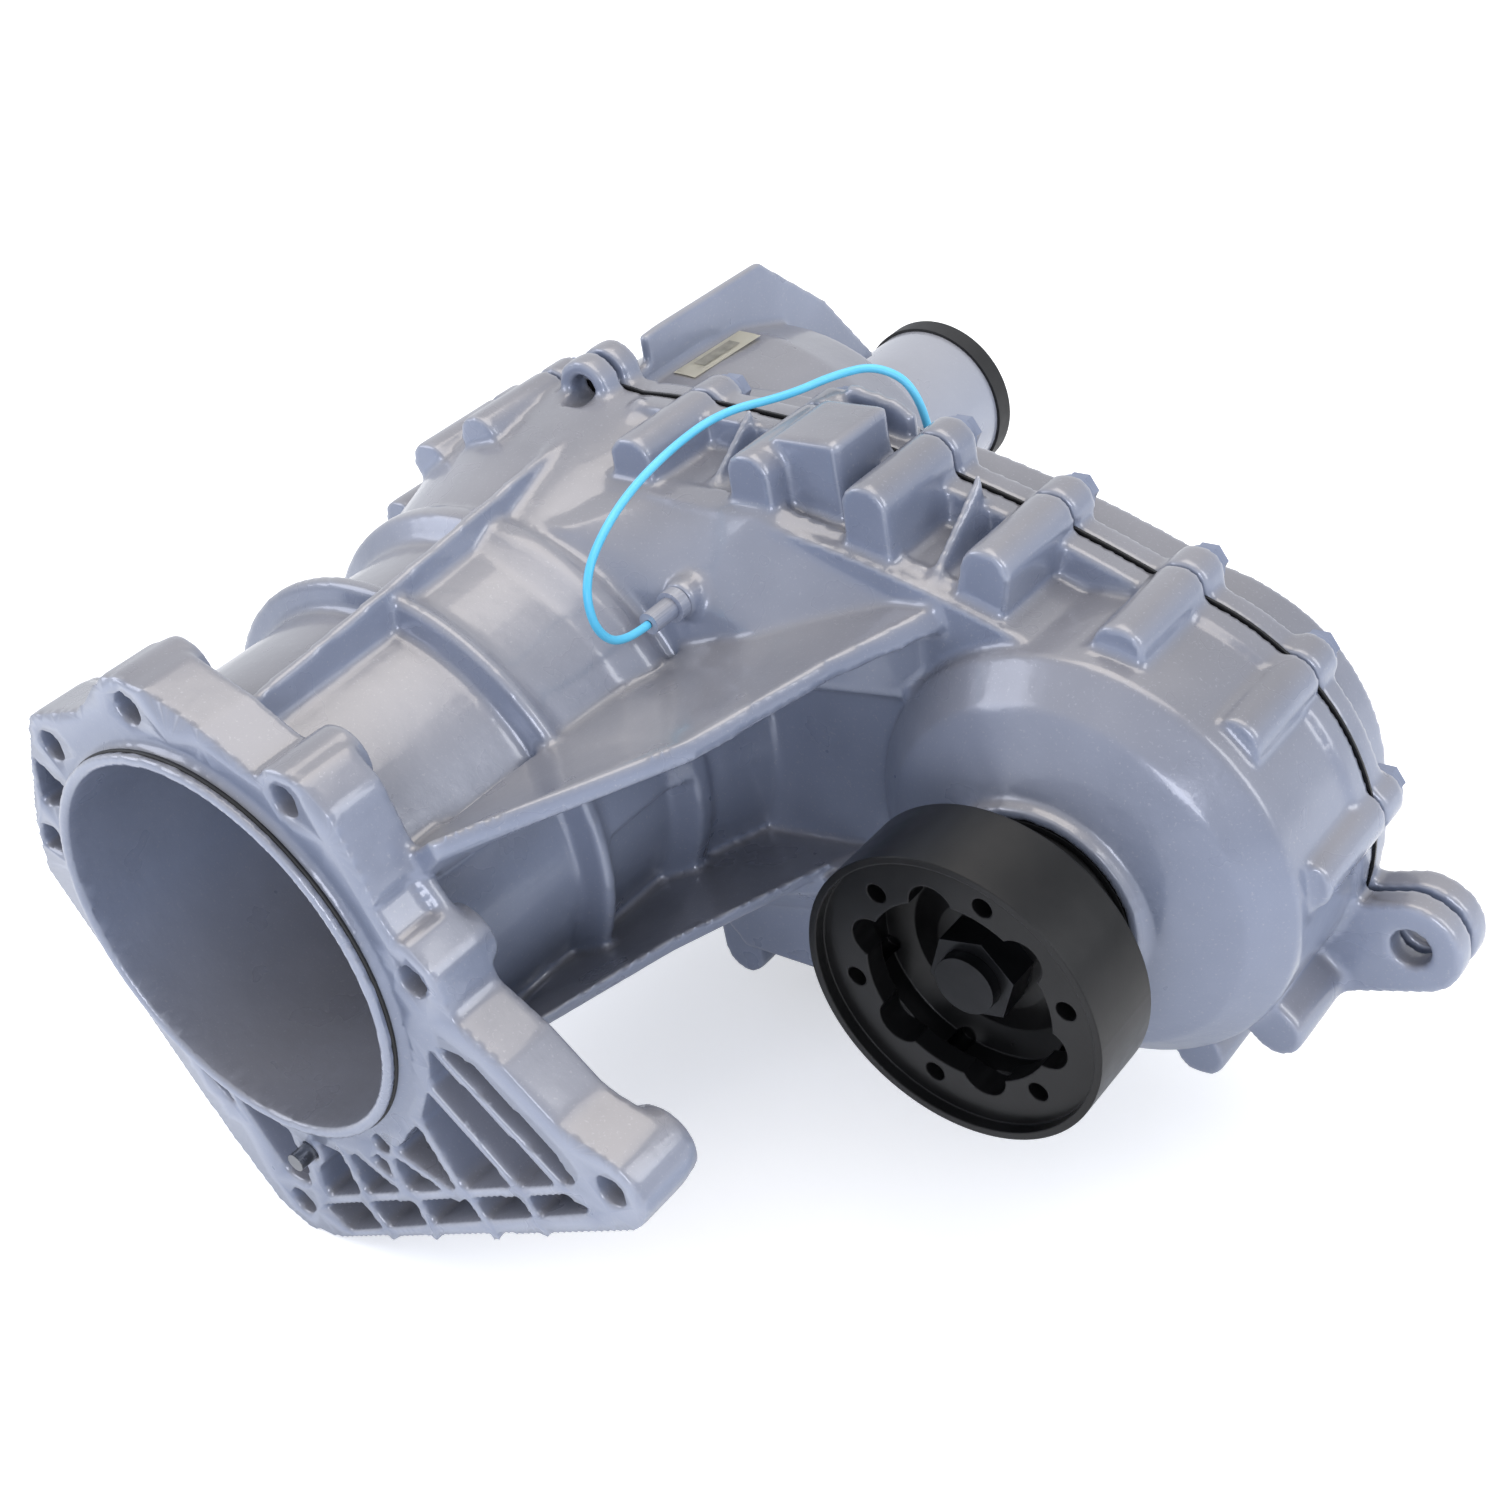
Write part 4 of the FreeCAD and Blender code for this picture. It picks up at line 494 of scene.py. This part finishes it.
# Each light is its name, place (m), size (m), power (W) and colour.
LAMPS = [
    ("overhead", (0.2, 0.5, 1.3), (1.2, 0.9), 9.0, "#fff6ea"),
    ("left", (-1.1, -0.7, 0.8), (0.7, 1.0), 7.0, "#eef2ff"),
    ("front", (1.0, -1.3, 0.5), (0.8, 0.5), 9.0, "#f4f6ff"),
    ("right", (1.5, 0.7, 0.7), (0.5, 1.0), 6.0, "#ffffff"),
]
for name, place, size, power, colour in LAMPS:
    area_light(name, place, CENTRE, size, power, colour)

floor_mesh = bpy.data.meshes.new("floor")
FLOOR_HALF = 6.0
FLOOR_GLOW = 0.42
floor_corners = [(x * FLOOR_HALF, y * FLOOR_HALF, floor_z)
                 for x, y in ((-1, -1), (1, -1), (1, 1), (-1, 1))]
floor_mesh.from_pydata(floor_corners, [], [(0, 1, 2, 3)])
floor = bpy.data.objects.new("floor", floor_mesh)
bpy.context.scene.collection.objects.link(floor)
floor_look, floor_tree, floor_shader, floor_where = new_material("floor")
floor_tint = ramp(floor_tree, noise_at(floor_tree, floor_where, 3.0),
                  linear("#f4f4f3"), linear("#f8f8f8"))
floor_tree.links.new(floor_tint, floor_shader.inputs["Base Color"])
floor_shader.inputs["Roughness"].default_value = 0.7
floor_path = floor_tree.nodes.new("ShaderNodeLightPath")
floor_lift = span(floor_tree, floor_path.outputs["Is Camera Ray"], 0.0, FLOOR_GLOW)
floor_shader.inputs["Emission Color"].default_value = grey(1.0)
floor_tree.links.new(floor_lift, floor_shader.inputs["Emission Strength"])
floor_mesh.materials.append(floor_look)

world = bpy.data.worlds.new("studio")
bpy.context.scene.world = world
world.use_nodes = True
tree = world.node_tree
tree.nodes.clear()
path = tree.nodes.new("ShaderNodeLightPath")
seen = tree.nodes.new("ShaderNodeMath")
seen.operation = "MAXIMUM"
tree.links.new(path.outputs["Is Camera Ray"], seen.inputs[0])
tree.links.new(path.outputs["Is Transmission Ray"], seen.inputs[1])
glow = add(tree, "ShaderNodeBackground", Color=linear("#e6eaf2"), Strength=1.1)
plain = add(tree, "ShaderNodeBackground", Color=grey(1.0), Strength=1.0)
both = tree.nodes.new("ShaderNodeMixShader")
tree.links.new(seen.outputs[0], both.inputs[0])
tree.links.new(glow.outputs[0], both.inputs[1])
tree.links.new(plain.outputs[0], both.inputs[2])
surface = tree.nodes.new("ShaderNodeOutputWorld")
tree.links.new(both.outputs[0], surface.inputs["Surface"])

bpy.context.scene.view_settings.view_transform = "Standard"
print("studio ready")
